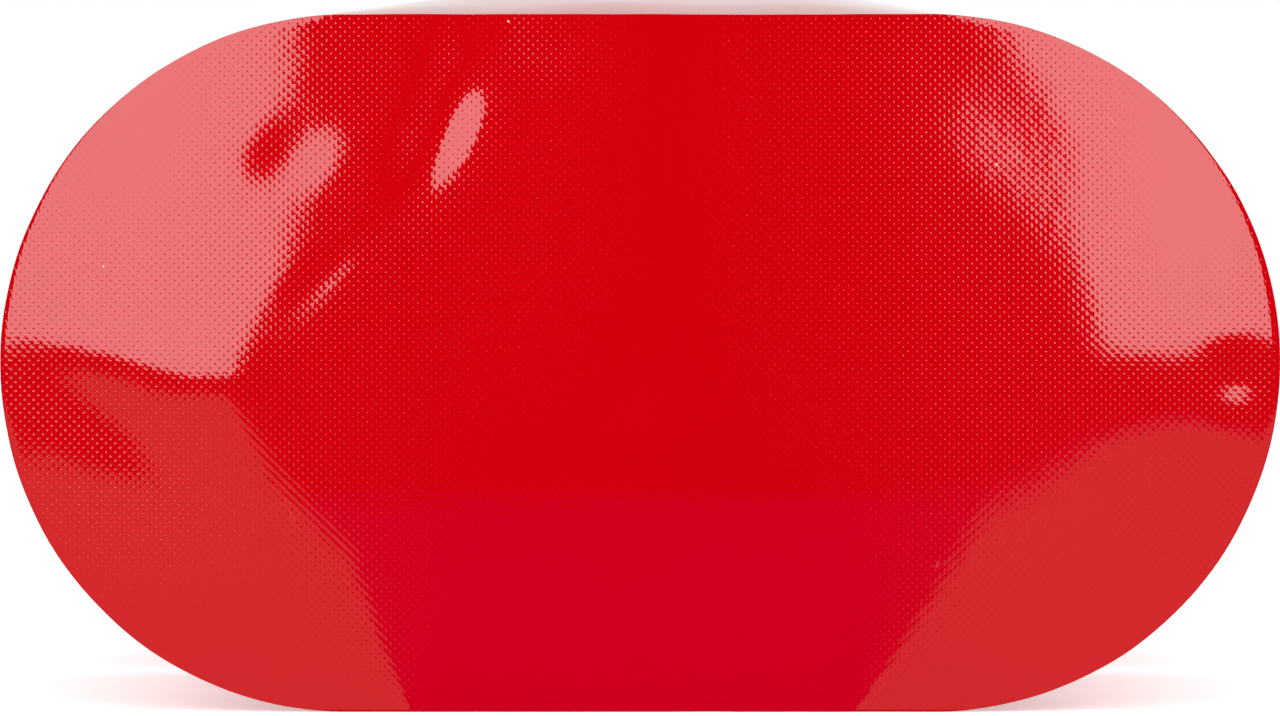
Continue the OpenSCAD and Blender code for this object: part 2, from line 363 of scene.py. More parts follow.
@dataclass(frozen=True)
class CoatedFabric(Finish):
    """PVC-coated polyester, calendered: a wet gloss over the soft relief of a plain weave.

    The coating sinks a little between the threads, which breaks up every reflection in a brick pattern
    and leaves a pinhole glint where four threads meet.

    Attributes:
        warp: Spacing of the upright threads, in millimetres.
        weft: Spacing of the level threads, in millimetres.
        relief: Height of the weave in the coating, in millimetres.
        pit: Depth of the pinholes, as a share of the relief.
        pit_power: How narrow the pinholes are.
        cord: How far the upright threads stand out, as a share of the relief.
        slub: Unevenness of the threads, as a share of the relief.
        slub_size: Size of a slub, in millimetres.
        cloud_size: Size of a cloud in the coating's colour and gloss, in millimetres.
        dulling: How much rougher the cloudiest coating is.
        lint_gap: Spacing of the lint specks, in millimetres.
        lint_size: Radius of a speck, as a share of their spacing.
        lint_free: Share of the places that have no speck.
        rub_size: Size of a rubbed patch, in millimetres.
        rub_strength: How pale a rubbed patch is.
        worn: Colour of specks and rubbed marks.
        deep: Colour where the coating is thickest.
    """

    name: str = "pvc_coated_polyester_red"
    base: str = "#a60009"
    roughness: float = 0.018
    ior: float = 1.53
    warp: float = 0.907
    weft: float = 0.865
    relief: float = 0.0025
    pit: float = 6.5
    pit_power: float = 5.0
    cord: float = 0.1
    slub: float = 5.0
    slub_size: float = 3.846
    cloud_size: float = 111.11
    dulling: float = 0.02
    lint_gap: float = 11.765
    lint_size: float = 0.018
    lint_free: float = 0.72
    rub_size: float = 21.74
    rub_strength: float = 0.3
    worn: str = "#e8a8a0"
    deep: str = "#9e0006"

    def detail(self, tree: bpy.types.NodeTree) -> dict:
        """Adds the woven relief, uneven colour, lint and rubbed marks."""
        place = add(tree, "TexCoord").outputs["Object"]
        cloud = add(tree, "TexNoise", {"Vector": place, "Scale": fineness(self.cloud_size), "Detail": 3.0})
        tint = add(tree, "Mix", {"Factor": cloud, "A": self.base, "B": self.deep}, data_type="RGBA")
        skin = {"Factor": self.wear(tree, place), "A": tint, "B": self.worn}
        dulled = {"From Min": 0.3, "From Max": 0.7, "To Min": self.roughness, "To Max": self.roughness + self.dulling}
        return {
            "Base Color": add(tree, "Mix", skin, data_type="RGBA"),
            "Roughness": add(tree, "MapRange", {"Value": cloud} | dulled),
            "Normal": add(tree, "Bump", {"Distance": self.relief * MM, "Height": self.weave(tree, place)}),
        }

    def weave(self, tree: bpy.types.NodeTree, place: bpy.types.NodeSocket) -> bpy.types.Node:
        """Adds the height of the weave: crossing threads, pinholes, cords and slubs."""
        across, along = threads(tree, self.warp, self.weft)
        height = add(tree, "Math.MULTIPLY", [add(tree, "Math.COSINE", [angle]) for angle in (across, along)])
        gaps = add(tree, "Math.MULTIPLY", [add(tree, "Math.SINE", [angle]) for angle in (across, along)])
        pits = add(tree, "Math.POWER", [add(tree, "Math.MAXIMUM", [gaps, 0.0]), self.pit_power])
        cords = add(tree, "Math.COSINE", [add(tree, "Math.MULTIPLY", [across, 2.0])])
        slubs = add(tree, "TexNoise", {"Vector": place, "Scale": fineness(self.slub_size), "Detail": 2.0})
        for part, share in ((pits, -self.pit), (cords, self.cord), (slubs, self.slub)):
            height = add(tree, "Math.MULTIPLY_ADD", [part, share, height])
        return height

    def wear(self, tree: bpy.types.NodeTree, place: bpy.types.NodeSocket) -> bpy.types.Node:
        """Adds a mask of lint specks and rubbed marks."""
        lint = add(tree, "TexVoronoi", {"Vector": place, "Scale": fineness(self.lint_gap)})
        chance = add(tree, "SeparateColor", [lint.outputs["Color"]])
        some = add(tree, "Math.GREATER_THAN", [chance, self.lint_free])
        specks = add(tree, "Math.MULTIPLY", [add(tree, "Math.LESS_THAN", [lint, self.lint_size]), some])
        patches = {"Vector": place, "Scale": fineness(self.rub_size), "Detail": 8.0, "Roughness": 0.75}
        rub = {"Value": add(tree, "TexNoise", patches), "From Min": 0.68, "From Max": 0.78, "To Max": self.rub_strength}
        return add(tree, "Math.MAXIMUM", [specks, add(tree, "MapRange", rub)])


@dataclass(frozen=True)
class FabricReverse(Finish):
    """The uncoated reverse of the coated polyester: dull, with the threads standing proud; the hollows between them
    carry painted shade and their crests a painted highlight.
    """

    name: str = "coated_polyester_reverse"
    base: str = "#8e0a18"
    roughness: float = 0.7
    warp: float = 0.907
    weft: float = 0.865
    relief: float = 0.06
    # hollow is painted shade between the threads, crest a painted highlight on them.
    hollow: str = "#74040f"
    crest: str = "#a81020"
    sheen: float = 0.2

    def detail(self, tree: bpy.types.NodeTree) -> dict:
        """Adds round threads in a plain weave, with painted shade in their hollows and a painted highlight on their
        crests.
        """
        angles = threads(tree, self.warp, self.weft)
        weave = add(tree, "Math.MULTIPLY", [add(tree, "Math.COSINE", [angle]) for angle in angles])
        # Painted shade and highlight: the colour follows the weave's height, dark in the hollows and pale on the
        # crests.
        shade = add(tree, "MapRange", {"Value": weave, "From Min": -1.0})
        return {
            "Base Color": add(tree, "Mix", {"Factor": shade, "A": self.hollow, "B": self.crest}, data_type="RGBA"),
            "Normal": add(tree, "Bump", {"Distance": self.relief * MM, "Height": weave}),
            "Sheen Weight": self.sheen,
        }


@dataclass(frozen=True)
class CutEdge(Finish):
    """The raw cut of the coated fabric: dark red coating round a dirty line of thread ends."""

    name: str = "pvc_cut_edge"
    base: str = "#5a0a12"
    roughness: float = 0.55
    thread_end: float = 1.111
    dirt_size: float = 16.67
    relief: float = 0.08

    def detail(self, tree: bpy.types.NodeTree) -> dict:
        """Adds thread ends and rubbed-in dirt."""
        place = add(tree, "TexCoord").outputs["Object"]
        ends = add(tree, "TexNoise", {"Vector": place, "Scale": fineness(self.thread_end), "Detail": 3.0})
        dirt = add(tree, "TexNoise", {"Vector": place, "Scale": fineness(self.dirt_size), "Detail": 4.0})
        mixed = add(tree, "Math.MULTIPLY", [ends, add(tree, "Math.MULTIPLY", [dirt, 2.0])])
        ramp = add(tree, "ValToRGB", [mixed])
        for stop, position, tint in zip(ramp.color_ramp.elements, (0.25, 0.8), ("#2a0507", "#9a2a28")):
            stop.position = position
            stop.color = colour(tint)
        bump = add(tree, "Bump", {"Strength": 0.8, "Distance": self.relief * MM, "Height": ends})
        return {"Base Color": ramp, "Normal": bump}


@dataclass(frozen=True)
class Webbing(Finish):
    """Woven polypropylene webbing: a matt herringbone of flat yarns with a faint sheen.

    Attributes:
        rib: Spacing of the ribs across the webbing, in millimetres.
        pick_pitch: Spacing of the picks along it, in millimetres.
        slant: How far a rib carries the picks along.
        light: Colour of the yarns' crowns, a painted highlight over the darker base colour of the hollows.
        relief: Height of the yarns, in millimetres.
        sheen: Strength of the sheen.
    """

    name: str = "polypropylene_webbing_black"
    base: str = "#0d0e10"
    roughness: float = 0.62
    rib: float = 1.5
    pick_pitch: float = 1.1
    slant: float = 1.4
    light: str = "#2a2c30"
    relief: float = 0.12
    sheen: float = 0.15

    def detail(self, tree: bpy.types.NodeTree) -> dict:
        """Adds the ribs and slanted picks of the weave, with the raised yarns painted paler as a painted highlight."""
        along, across = threads(tree, self.pick_pitch, self.rib)
        rib = add(tree, "Math.ABSOLUTE", [add(tree, "Math.SINE", [across])])
        slanted = add(tree, "Math.MULTIPLY_ADD", [rib, self.slant, along])
        yarn = add(tree, "Math.ABSOLUTE", [add(tree, "Math.SINE", [slanted])])
        raised = [add(tree, "Math.ADD", [rib, 0.4]), add(tree, "Math.ADD", [yarn, 0.5])]
        height = add(tree, "Math.MULTIPLY", raised)
        # Painted highlight and shade: the yarns are paler the higher they stand, and darkest in the hollows.
        shade = add(tree, "MapRange", {"Value": height, "From Max": 2.0})
        return {
            "Base Color": add(tree, "Mix", {"Factor": shade, "A": self.base, "B": self.light}, data_type="RGBA"),
            "Normal": add(tree, "Bump", {"Strength": 0.9, "Distance": self.relief * MM, "Height": height}),
            "Sheen Weight": self.sheen,
        }


@dataclass(frozen=True)
class Grained(Finish):
    """A finish with random grain: foam, rubber, board, grit or moulded plastic.

    Attributes:
        grain: Size of the grain, in millimetres.
        depth: Height of the grain, in millimetres.
        second: The colour that the grain shades to.
        contrast: How sharply the grain turns from one colour to the other.
        cells: True for rounded cells, as in foam, and False for a fine grain.
        metallic: 1 for bare metal.
        patch_size: Size of the patches of wear, in millimetres.
        unevenness: How far the roughness strays over the patches.
    """

    grain: float = 0.5
    depth: float = 0.05
    second: str = "#606060"
    contrast: float = 0.5
    cells: bool = False
    metallic: float = 0.0
    patch_size: float = 41.67
    unevenness: float = 0.06

    def detail(self, tree: bpy.types.NodeTree) -> dict:
        """Adds the grain, with slow patches of wear over it."""
        place = add(tree, "TexCoord").outputs["Object"]
        kind, extra = ("TexVoronoi", {}) if self.cells else ("TexNoise", {"Detail": 4.0})
        grain = add(tree, kind, {"Vector": place, "Scale": fineness(self.grain)} | extra)
        patches = add(tree, "TexNoise", {"Vector": place, "Scale": fineness(self.patch_size), "Detail": 4.0})
        worn = add(tree, "Math.MULTIPLY", [patches, 0.3])
        spread = add(tree, "Math.MULTIPLY_ADD", [grain, 0.7, worn])
        low = 0.5 - self.contrast / 2
        fade = add(tree, "MapRange", {"Value": spread, "From Min": low, "From Max": 1 - low})
        smoothest = max(self.roughness - self.unevenness, 0.02)
        dull = {"From Min": 0.3, "From Max": 0.7, "To Min": smoothest, "To Max": self.roughness + self.unevenness}
        return {
            "Base Color": add(tree, "Mix", {"Factor": fade, "A": self.base, "B": self.second}, data_type="RGBA"),
            "Roughness": add(tree, "MapRange", {"Value": patches} | dull),
            "Normal": add(tree, "Bump", {"Distance": self.depth * MM, "Height": grain}),
            "Metallic": self.metallic,
        }


@dataclass(frozen=True)
class WaxedPaper(Finish):
    """Spirally wound waxed kraft paper, dyed red: satin, with the edge of its last turn showing.

    Attributes:
        centre: X and Z of the tube's axis, in metres.
        lead: Distance along the tube between two turns of the paper's edge, in millimetres.
        edge_share: Width of the painted shadow along the paper's edge, as a share of the lead.
        fibre: Size of the paper's fibres, in millimetres.
        cloud: Size of the clouds in the wax, in millimetres.
        relief: Height of the paper's edge, in millimetres.
        dark: Colour of thin wax.
        light: Colour of thick wax.
        shadow: Colour of the painted shadow along the paper's edge.
    """

    name: str = "waxed_paper_tube"
    base: str = "#b3121f"
    roughness: float = 0.34
    ior: float = 1.44
    centre: tuple[float, float] = (0.0, 0.0)
    lead: float = 46.0
    edge_share: float = 0.016
    fibre: float = 2.381
    cloud: float = 26.316
    relief: float = 0.08
    dark: str = "#9c0f1b"
    light: str = "#c92a33"
    shadow: str = "#5e0a12"

    def detail(self, tree: bpy.types.NodeTree) -> dict:
        """Adds the spiral edge with a painted shadow along it, paper fibres and cloudy wax."""
        place = add(tree, "TexCoord").outputs["Object"]
        axis = (-self.centre[0], 0.0, -self.centre[1])
        split = add(tree, "SeparateXYZ", [add(tree, "Mapping", {"Vector": place, "Location": axis})])
        around = add(tree, "Math.ARCTAN2", [split.outputs[2], split.outputs[0]])
        run = add(tree, "Math.MULTIPLY", [split.outputs[1], fineness(self.lead)])
        turns = add(tree, "Math.MULTIPLY_ADD", [around, 1 / (2 * math.pi), run])
        phase = add(tree, "Math.FRACT", [turns])
        fibres = add(tree, "TexNoise", {"Vector": place, "Scale": fineness(self.fibre), "Detail": 5.0})
        clouds = {"Vector": place, "Scale": fineness(self.cloud), "Detail": 5.0, "Roughness": 0.65}
        wax = {"Factor": add(tree, "TexNoise", clouds), "A": self.dark, "B": self.light}
        # A thin band along the paper's spiral edge takes the shadow colour: a painted shadow.
        edge = add(tree, "Math.LESS_THAN", [phase, self.edge_share])
        skin = {"Factor": edge, "A": add(tree, "Mix", wax, data_type="RGBA"), "B": self.shadow}
        height = add(tree, "Math.MULTIPLY_ADD", [fibres, 0.3, phase])
        return {
            "Base Color": add(tree, "Mix", skin, data_type="RGBA"),
            "Normal": add(tree, "Bump", {"Distance": self.relief * MM, "Height": height}),
        }


@dataclass(frozen=True)
class ReflectiveFilm(Finish):
    """Glass-bead reflective film on cloth: silver grey, with a net of fine sealed cells.

    Attributes:
        cell: Size of a sealed cell, in millimetres.
        seal: Half width of the seal between two cells, as a share of the cell.
        bead: Size of a cluster of beads, in millimetres, coarser than the real ones so that it shows.
        relief: Height of the seals, in millimetres.
        metallic: How metallic the film looks.
    """

    name: str = "glass_bead_reflective_film"
    base: str = "#b9bdc2"
    roughness: float = 0.32
    ior: float = 1.9
    cell: float = 2.6
    seal: float = 0.06
    bead: float = 0.4167
    relief: float = 0.03
    metallic: float = 0.35

    def detail(self, tree: bpy.types.NodeTree) -> dict:
        """Adds the sealed cells and the beads' grain, whose pale spots are a painted sparkle."""
        uv = add(tree, "UVMap", uv_map="UVMap")
        pattern = {"Vector": uv, "Scale": fineness(self.cell), "Randomness": 0.0}
        cells = add(tree, "TexVoronoi", pattern, feature="DISTANCE_TO_EDGE")
        net = add(tree, "Math.LESS_THAN", [cells, self.seal])
        beads = add(tree, "TexNoise", {"Vector": uv, "Scale": fineness(self.bead), "Detail": 1.0})
        # The beads' tone is their own grain and, in its pale spots, a painted sparkle.
        grain_and_sparkle = add(tree, "Mix", {"Factor": beads, "A": "#9ea3a9", "B": "#d6d9dc"}, data_type="RGBA")
        height = add(tree, "Math.MULTIPLY_ADD", [beads, 0.5, net])
        return {
            "Base Color": add(tree, "Mix", {"Factor": net, "A": grain_and_sparkle, "B": "#e6e8ea"}, data_type="RGBA"),
            "Normal": add(tree, "Bump", {"Distance": self.relief * MM, "Height": height}),
            "Metallic": self.metallic,
        }


@dataclass(frozen=True)
class ClearVinyl(Finish):
    """Pressed clear vinyl: a glassy pocket sheet with soft ripples, faintly blue.

    Attributes:
        ripple: Size of a ripple, in millimetres.
        relief: Height of the ripples, in millimetres.
        haze: Roughness where the sheet is haziest.
        clearness: How much light goes through.
    """

    name: str = "clear_vinyl"
    base: str = "#eef6fa"
    roughness: float = 0.06
    ior: float = 1.53
    ripple: float = 14.286
    relief: float = 0.25
    haze: float = 0.14
    clearness: float = 0.95

    def detail(self, tree: bpy.types.NodeTree) -> dict:
        """Makes the sheet clear and adds ripples."""
        place = add(tree, "TexCoord").outputs["Object"]
        ripple = add(tree, "TexNoise", {"Vector": place, "Scale": fineness(self.ripple), "Detail": 2.0})
        return {
            "Roughness": add(tree, "MapRange", {"Value": ripple, "To Min": self.roughness, "To Max": self.haze}),
            "Normal": add(tree, "Bump", {"Distance": self.relief * MM, "Height": ripple}),
            "Transmission Weight": self.clearness,
        }


FABRIC = CoatedFabric()
REVERSE = FabricReverse()
CUT_EDGE = CutEdge()
WEBBING = Webbing()
BINDING = Webbing(name="grosgrain_binding_black", rib=0.9, pick_pitch=0.8, relief=0.08)
FILM = ReflectiveFilm()
VINYL = ClearVinyl()
# Bonded thread: a tight twist with a low lustre.
THREAD = Grained("bonded_polyester_thread", "#16171a", second="#34363b", roughness=0.5, grain=0.15)
PALE_THREAD = Grained("polyester_thread_grey", "#9a9da2", second="#c4c6ca", roughness=0.5, grain=0.15)
# Closed-cell foam: skinned cells whose raised rims are painted paler, a painted highlight on each cell.
FOAM = Grained(
    "polyethylene_foam_closed_cell", "#232529", second="#3c3f45", roughness=0.85, grain=0.9, depth=0.22, cells=True
)
# Moulded rubber: a soft bloom over a spark-eroded grain.
RUBBER = Grained("moulded_rubber_black", "#0c0d0e", second="#1d1e20", roughness=0.58, grain=0.25, depth=0.03)
# Hardboard: pressed fibre with a smooth dark face.
BOARD = Grained("hardboard_black", "#1c1d21", second="#34302b", roughness=0.6, grain=0.6, depth=0.05)
# Uncoated card: matt and faintly fibrous.
CARD = Grained("uncoated_card", "#efece4", second="#f8f6f1", roughness=0.8, grain=0.3, depth=0.01)
# Nickel plate on drawn wire: a bright, slightly warm metal with faint draw marks.
STEEL_WIRE = Grained(
    "nickel_plated_steel_wire", "#b4b2ac", second="#d2d0ca", roughness=0.2, grain=1.5, depth=0.008, metallic=1.0
)
# Pressed composition and igniter: dry, crumbly powders.
COMPOSITION = Grained("pressed_composition", "#5b4a3b", second="#80705e", roughness=0.9, grain=0.4, depth=0.2)
IGNITER = Grained("igniter_mix", "#1d1a18", second="#3d332c", roughness=0.8, grain=0.35, depth=0.12)
# Moulded polyethylene: waxy, with a mould's fine satin.
CAP_PLASTIC = Grained("polyethylene_cap_moulded", "#dcd7ca", second="#ece8de", roughness=0.38, depth=0.012)
# Striker: red phosphorus and glass grit in binder.
STRIKER_GRIT = Grained(
    "striker_grit", "#3c1510", second="#7a2c20", roughness=0.92, grain=0.28, depth=0.18, contrast=0.3
)
# The floor glows a little, so that it stays pale beside the bag.
WHITE_BOARD = Grained(
    "matt_white_board", "#f4f4f4", second="#fafafa", roughness=0.9, grain=2.0, depth=0.0, glow=0.42
)


# ------------------------------------------------------------------- the form


@dataclass(frozen=True)
class Dent:
    """A soft hollow or rise pressed into the base panel.

    Attributes:
        x: Place across the panel, in millimetres from its middle.
        z: Place up the panel, in millimetres from its middle.
        width: Half width across, in millimetres.
        height: Half width upwards, in millimetres.
        turn: Turn of the dent in degrees, anticlockwise as the panel is seen.
        rise: How far it stands proud, in millimetres; less than 0 is pressed in.
    """

    x: float
    z: float
    width: float
    height: float
    turn: float
    rise: float

    def at(self, x: float, z: float) -> float:
        """Returns the dent's own height in millimetres at a place in millimetres."""
        c = math.cos(math.radians(self.turn))
        s = math.sin(math.radians(self.turn))
        u = ((x - self.x) * c + (z - self.z) * s) / self.width
        v = (-(x - self.x) * s + (z - self.z) * c) / self.height
        reach = u * u + v * v
        return self.rise * math.exp(-reach / 2) if reach < 30 else 0.0


@dataclass
class BagForm:
    """The bag's shape, which all its pieces follow.

    Attributes:
        arc_x: X of the axes of the two round ends.
        centre_z: Height of the bag's axis.
        base_y: Y of the base panel's outer face.
        panel_r: Radius of the base panel's round ends.
        wall_r: Radius of the wall's round ends.
        mouth_at: Distance from the base panel's face to the wall's free edge.
        flange_at: Distance from the base panel's face to the wall's flange.
        swell_rise: How far the front wall swells.
        wall_t: Thickness of the wall's fabric.
        crown_rise: How far the middle of the base stands proud.
        crown_from: Distance from the middle at which the base starts to draw back.
        crown_pull: How strongly it draws back.
        crown_power: How suddenly it draws back.
        belly: Curve of the base from its lower to its upper edge, in 1/m.
        swell_end_gap: Length of the mouth end that doesn't swell.
        swell_half_w: Half width of the swell.
        swell_power: How square the swell is across.
        lip_sag: How far the front lip sags.
        lip_from: Length of the front that sags.
        lip_reach: Half width of the sag, as a share of arc_x.
        slack: Height of the slack folds.
        ease_in: Length over which the folds grow from the base and die at the mouth.
        pull_in: Length over which the crown of the base draws the wall with it.
    """

    arc_x: float
    centre_z: float
    base_y: float
    panel_r: float
    wall_r: float
    mouth_at: float
    flange_at: float
    swell_rise: float
    wall_t: float = 1.0 * MM
    crown_rise: float = 6.0 * MM
    crown_from: float = 35.0 * MM
    crown_pull: float = 1.85e-4
    crown_power: float = 2.5
    belly: float = 0.9
    swell_end_gap: float = 19.0 * MM
    swell_half_w: float = 76.0 * MM
    swell_power: float = 3.5
    lip_sag: float = 4.5 * MM
    lip_from: float = 45.0 * MM
    lip_reach: float = 1.7
    slack: float = 0.9 * MM
    ease_in: tuple[float, float] = (18 * MM, 22 * MM)
    pull_in: float = 60 * MM

    @classmethod
    def from_frame(cls) -> "BagForm":
        """Reads the bag's sizes from the boxes of the CAD nodes."""
        low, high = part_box("base_panel")
        wall_low, wall_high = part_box("body_wall")
        panel_r = (high.z - low.z) / 2
        arc_x = high.x - panel_r
        wall_r = wall_high.x - arc_x
        centre_z = (low.z + high.z) / 2
        return cls(
            arc_x=arc_x,
            centre_z=centre_z,
            base_y=low.y,
            panel_r=panel_r,
            wall_r=wall_r,
            mouth_at=wall_high.y - low.y,
            flange_at=wall_low.y - low.y,
            swell_rise=wall_high.z - centre_z - wall_r,
        )

    def span(self, node: str) -> tuple[float, float]:
        """Returns how far from the base panel's face a CAD node starts and ends."""
        low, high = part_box(node)
        return low.y - self.base_y, high.y - self.base_y

    @property
    def girth(self) -> float:
        """Length round the wall's outside."""
        return 4 * self.arc_x + 2 * math.pi * self.wall_r

    def outward(self, x: float, z: float) -> tuple[float, float]:
        """Returns the unit direction out of the outline, at any place on or near it."""
        dx = max(abs(x) - self.arc_x, 0.0) * (1 if x > 0 else -1)
        dz = z - self.centre_z
        length = math.hypot(dx, dz) or 1.0
        return dx / length, dz / length

    def round_about(self, x: float, z: float) -> float:
        """Returns the distance round the wall from the top's middle, less than 0 on the left."""
        out_x, out_z = self.outward(x, z)
        if abs(x) > self.arc_x:
            run = self.arc_x + self.wall_r * math.atan2(abs(out_x), out_z)
        else:
            run = abs(x) if z > self.centre_z else self.girth / 2 - abs(x)
        return run if x > 0 else -run

    def outline(self, run: float) -> tuple[float, float, float, float]:
        """Returns x and z of the wall's outline at a distance round it, and the way out there."""
        half = self.girth / 2
        run = (run + half) % self.girth - half
        side = 1 if run >= 0 else -1
        left = abs(run)
        arc = math.pi * self.wall_r
        if left <= self.arc_x:
            return side * left, self.centre_z + self.wall_r, 0.0, 1.0
        if left <= self.arc_x + arc:
            angle = (left - self.arc_x) / self.wall_r
            out_x, out_z = side * math.sin(angle), math.cos(angle)
            place = (side * self.arc_x + self.wall_r * out_x, self.centre_z + self.wall_r * out_z)
            return (*place, out_x, out_z)
        return side * (half - left), self.centre_z - self.wall_r, 0.0, -1.0

    def crown(self, x: float, z: float) -> float:
        """Returns how far the base stands out: proud in its middle and drawn back towards its edges."""
        beyond = max(abs(x) - self.crown_from, 0.0) / MM
        sides = self.crown_pull * beyond**self.crown_power / self.crown_power * MM
        return self.crown_rise - sides - self.belly * (z - self.centre_z) ** 2 / 2

    def swell(self, x: float, out_z: float, at: float) -> float:
        """Returns how far the contents push the front wall out, at x and a distance from the base."""
        middle = (self.mouth_at - self.swell_end_gap) / 2
        along = (at - middle) / middle
        across = abs(x) / self.swell_half_w
        if out_z <= 0 or abs(along) >= 1 or across >= 1:
            return 0.0
        return self.swell_rise * (1 - along * along) ** 0.9 * (1 - across**self.swell_power)

    def ease(self, run: float, at: float) -> float:
        """Returns the wall's small slack folds: outwards only, and none on the floor or under the fittings."""
        x, z, out_x, out_z = self.outline(run)
        free = max(0.0, 1 - abs(out_x) ** 1.5) * (1 if out_z > 0 else 0.25)
        base_end, mouth_end = self.ease_in
        ends = min(1.0, at / base_end) * min(1.0, max(0.0, (self.mouth_at - at) / mouth_end))
        broad = noise.noise(Vector((run * 16, at * 9, 3.7)))
        fine = noise.noise(Vector((run * 38, at * 30, 9.1)))
        return self.slack * free * ends * max(0.0, 0.6 + broad + 0.5 * fine)

    def lip(self, x: float, out_z: float, at: float) -> float:
        """Returns how far the front lip sags under its own weight."""
        near = (at - self.mouth_at + self.lip_from) / self.lip_from
        if out_z <= 0 or near <= 0:
            return 0.0
        across = min(abs(x) / (self.arc_x * self.lip_reach), 1.0)
        return -self.lip_sag * near * near * (0.5 + 0.5 * math.cos(math.pi * across))

    def surface(self, run: float, at: float, off: float = 0.0) -> Vector:
        """Returns the place on the wall at a distance round it and a distance from the base.

        Args:
            run: Distance round the wall from the middle of its front.
            at: Distance from the base panel's face.
            off: Height off the wall's outside.

        Returns:
            The place in the frame.
        """
        x, z, out_x, out_z = self.outline(run)
        out = off + self.swell(x, out_z, at) + self.ease(run, at) + self.lip(x, out_z, at)
        back = -self.crown(x, z) * max(0.0, 1 - at / self.pull_in) ** 2
        return Vector((x + out_x * out, self.base_y + at + back, z + out_z * out))


def obround_loop(
    name: str, form: BagForm, radius: float, y: float, turns: int = 192, cuts: int = 76
) -> bpy.types.Object:
    """Makes a closed outline with two straight sides and two round ends, by drawing a circle's halves apart.

    Args:
        name: The new object's name.
        form: The bag's form.
        radius: Radius of the round ends.
        y: Where the outline stands.
        turns: Points round both ends together.
        cuts: Points added on each straight side.

    Returns:
        The outline, an object with edges and no faces.
    """
    deselect()
    bpy.ops.mesh.primitive_circle_add(
        vertices=turns,
        radius=radius,
        location=(0, y, form.centre_z),
        rotation=(math.pi / 2, math.pi / turns, 0),
    )
    piece = named(name)
    with editing(piece):
        for side in (-1, 1):
            pick(piece, Part.VERTICES, lambda v: v.co.x * side > 0)
            bpy.ops.transform.translate(value=(side * form.arc_x, 0, 0))
        if cuts:
            pick(piece, Part.EDGES, lambda e: e.calc_length() > form.arc_x)
            bpy.ops.mesh.subdivide(number_cuts=cuts)
    return piece


def draw_out(piece: bpy.types.Object, length: float, steps: int) -> None:
    """Extrudes everything in a piece along Y, in equal steps."""
    with editing(piece):
        bpy.ops.mesh.select_all(action="SELECT")
        for _ in range(steps):
            bpy.ops.mesh.extrude_region_move(TRANSFORM_OT_translate={"value": (0, length / steps, 0)})


def strip(name: str, length: float, width: float, pitch: float) -> bpy.types.Object:
    """Makes a flat strip in the XY plane from a grid, its length along X from 0 and its width across Y.

    Args:
        name: The new object's name.
        length: Length of the strip.
        width: Width of the strip.
        pitch: Size of its faces.

    Returns:
        The strip, unwrapped in metres.
    """
    deselect()
    bpy.ops.mesh.primitive_grid_add(
        x_subdivisions=max(2, round(length / pitch)),
        y_subdivisions=max(2, round(width / pitch)),
        size=1,
        location=(length / 2, 0, 0),
    )
    bpy.context.object.scale = (length, width, 1)
    piece = named(name)
    unwrap(piece, lambda co: (co.x, co.y))
    return piece


# ---------------------------------------------------------------- base of bag


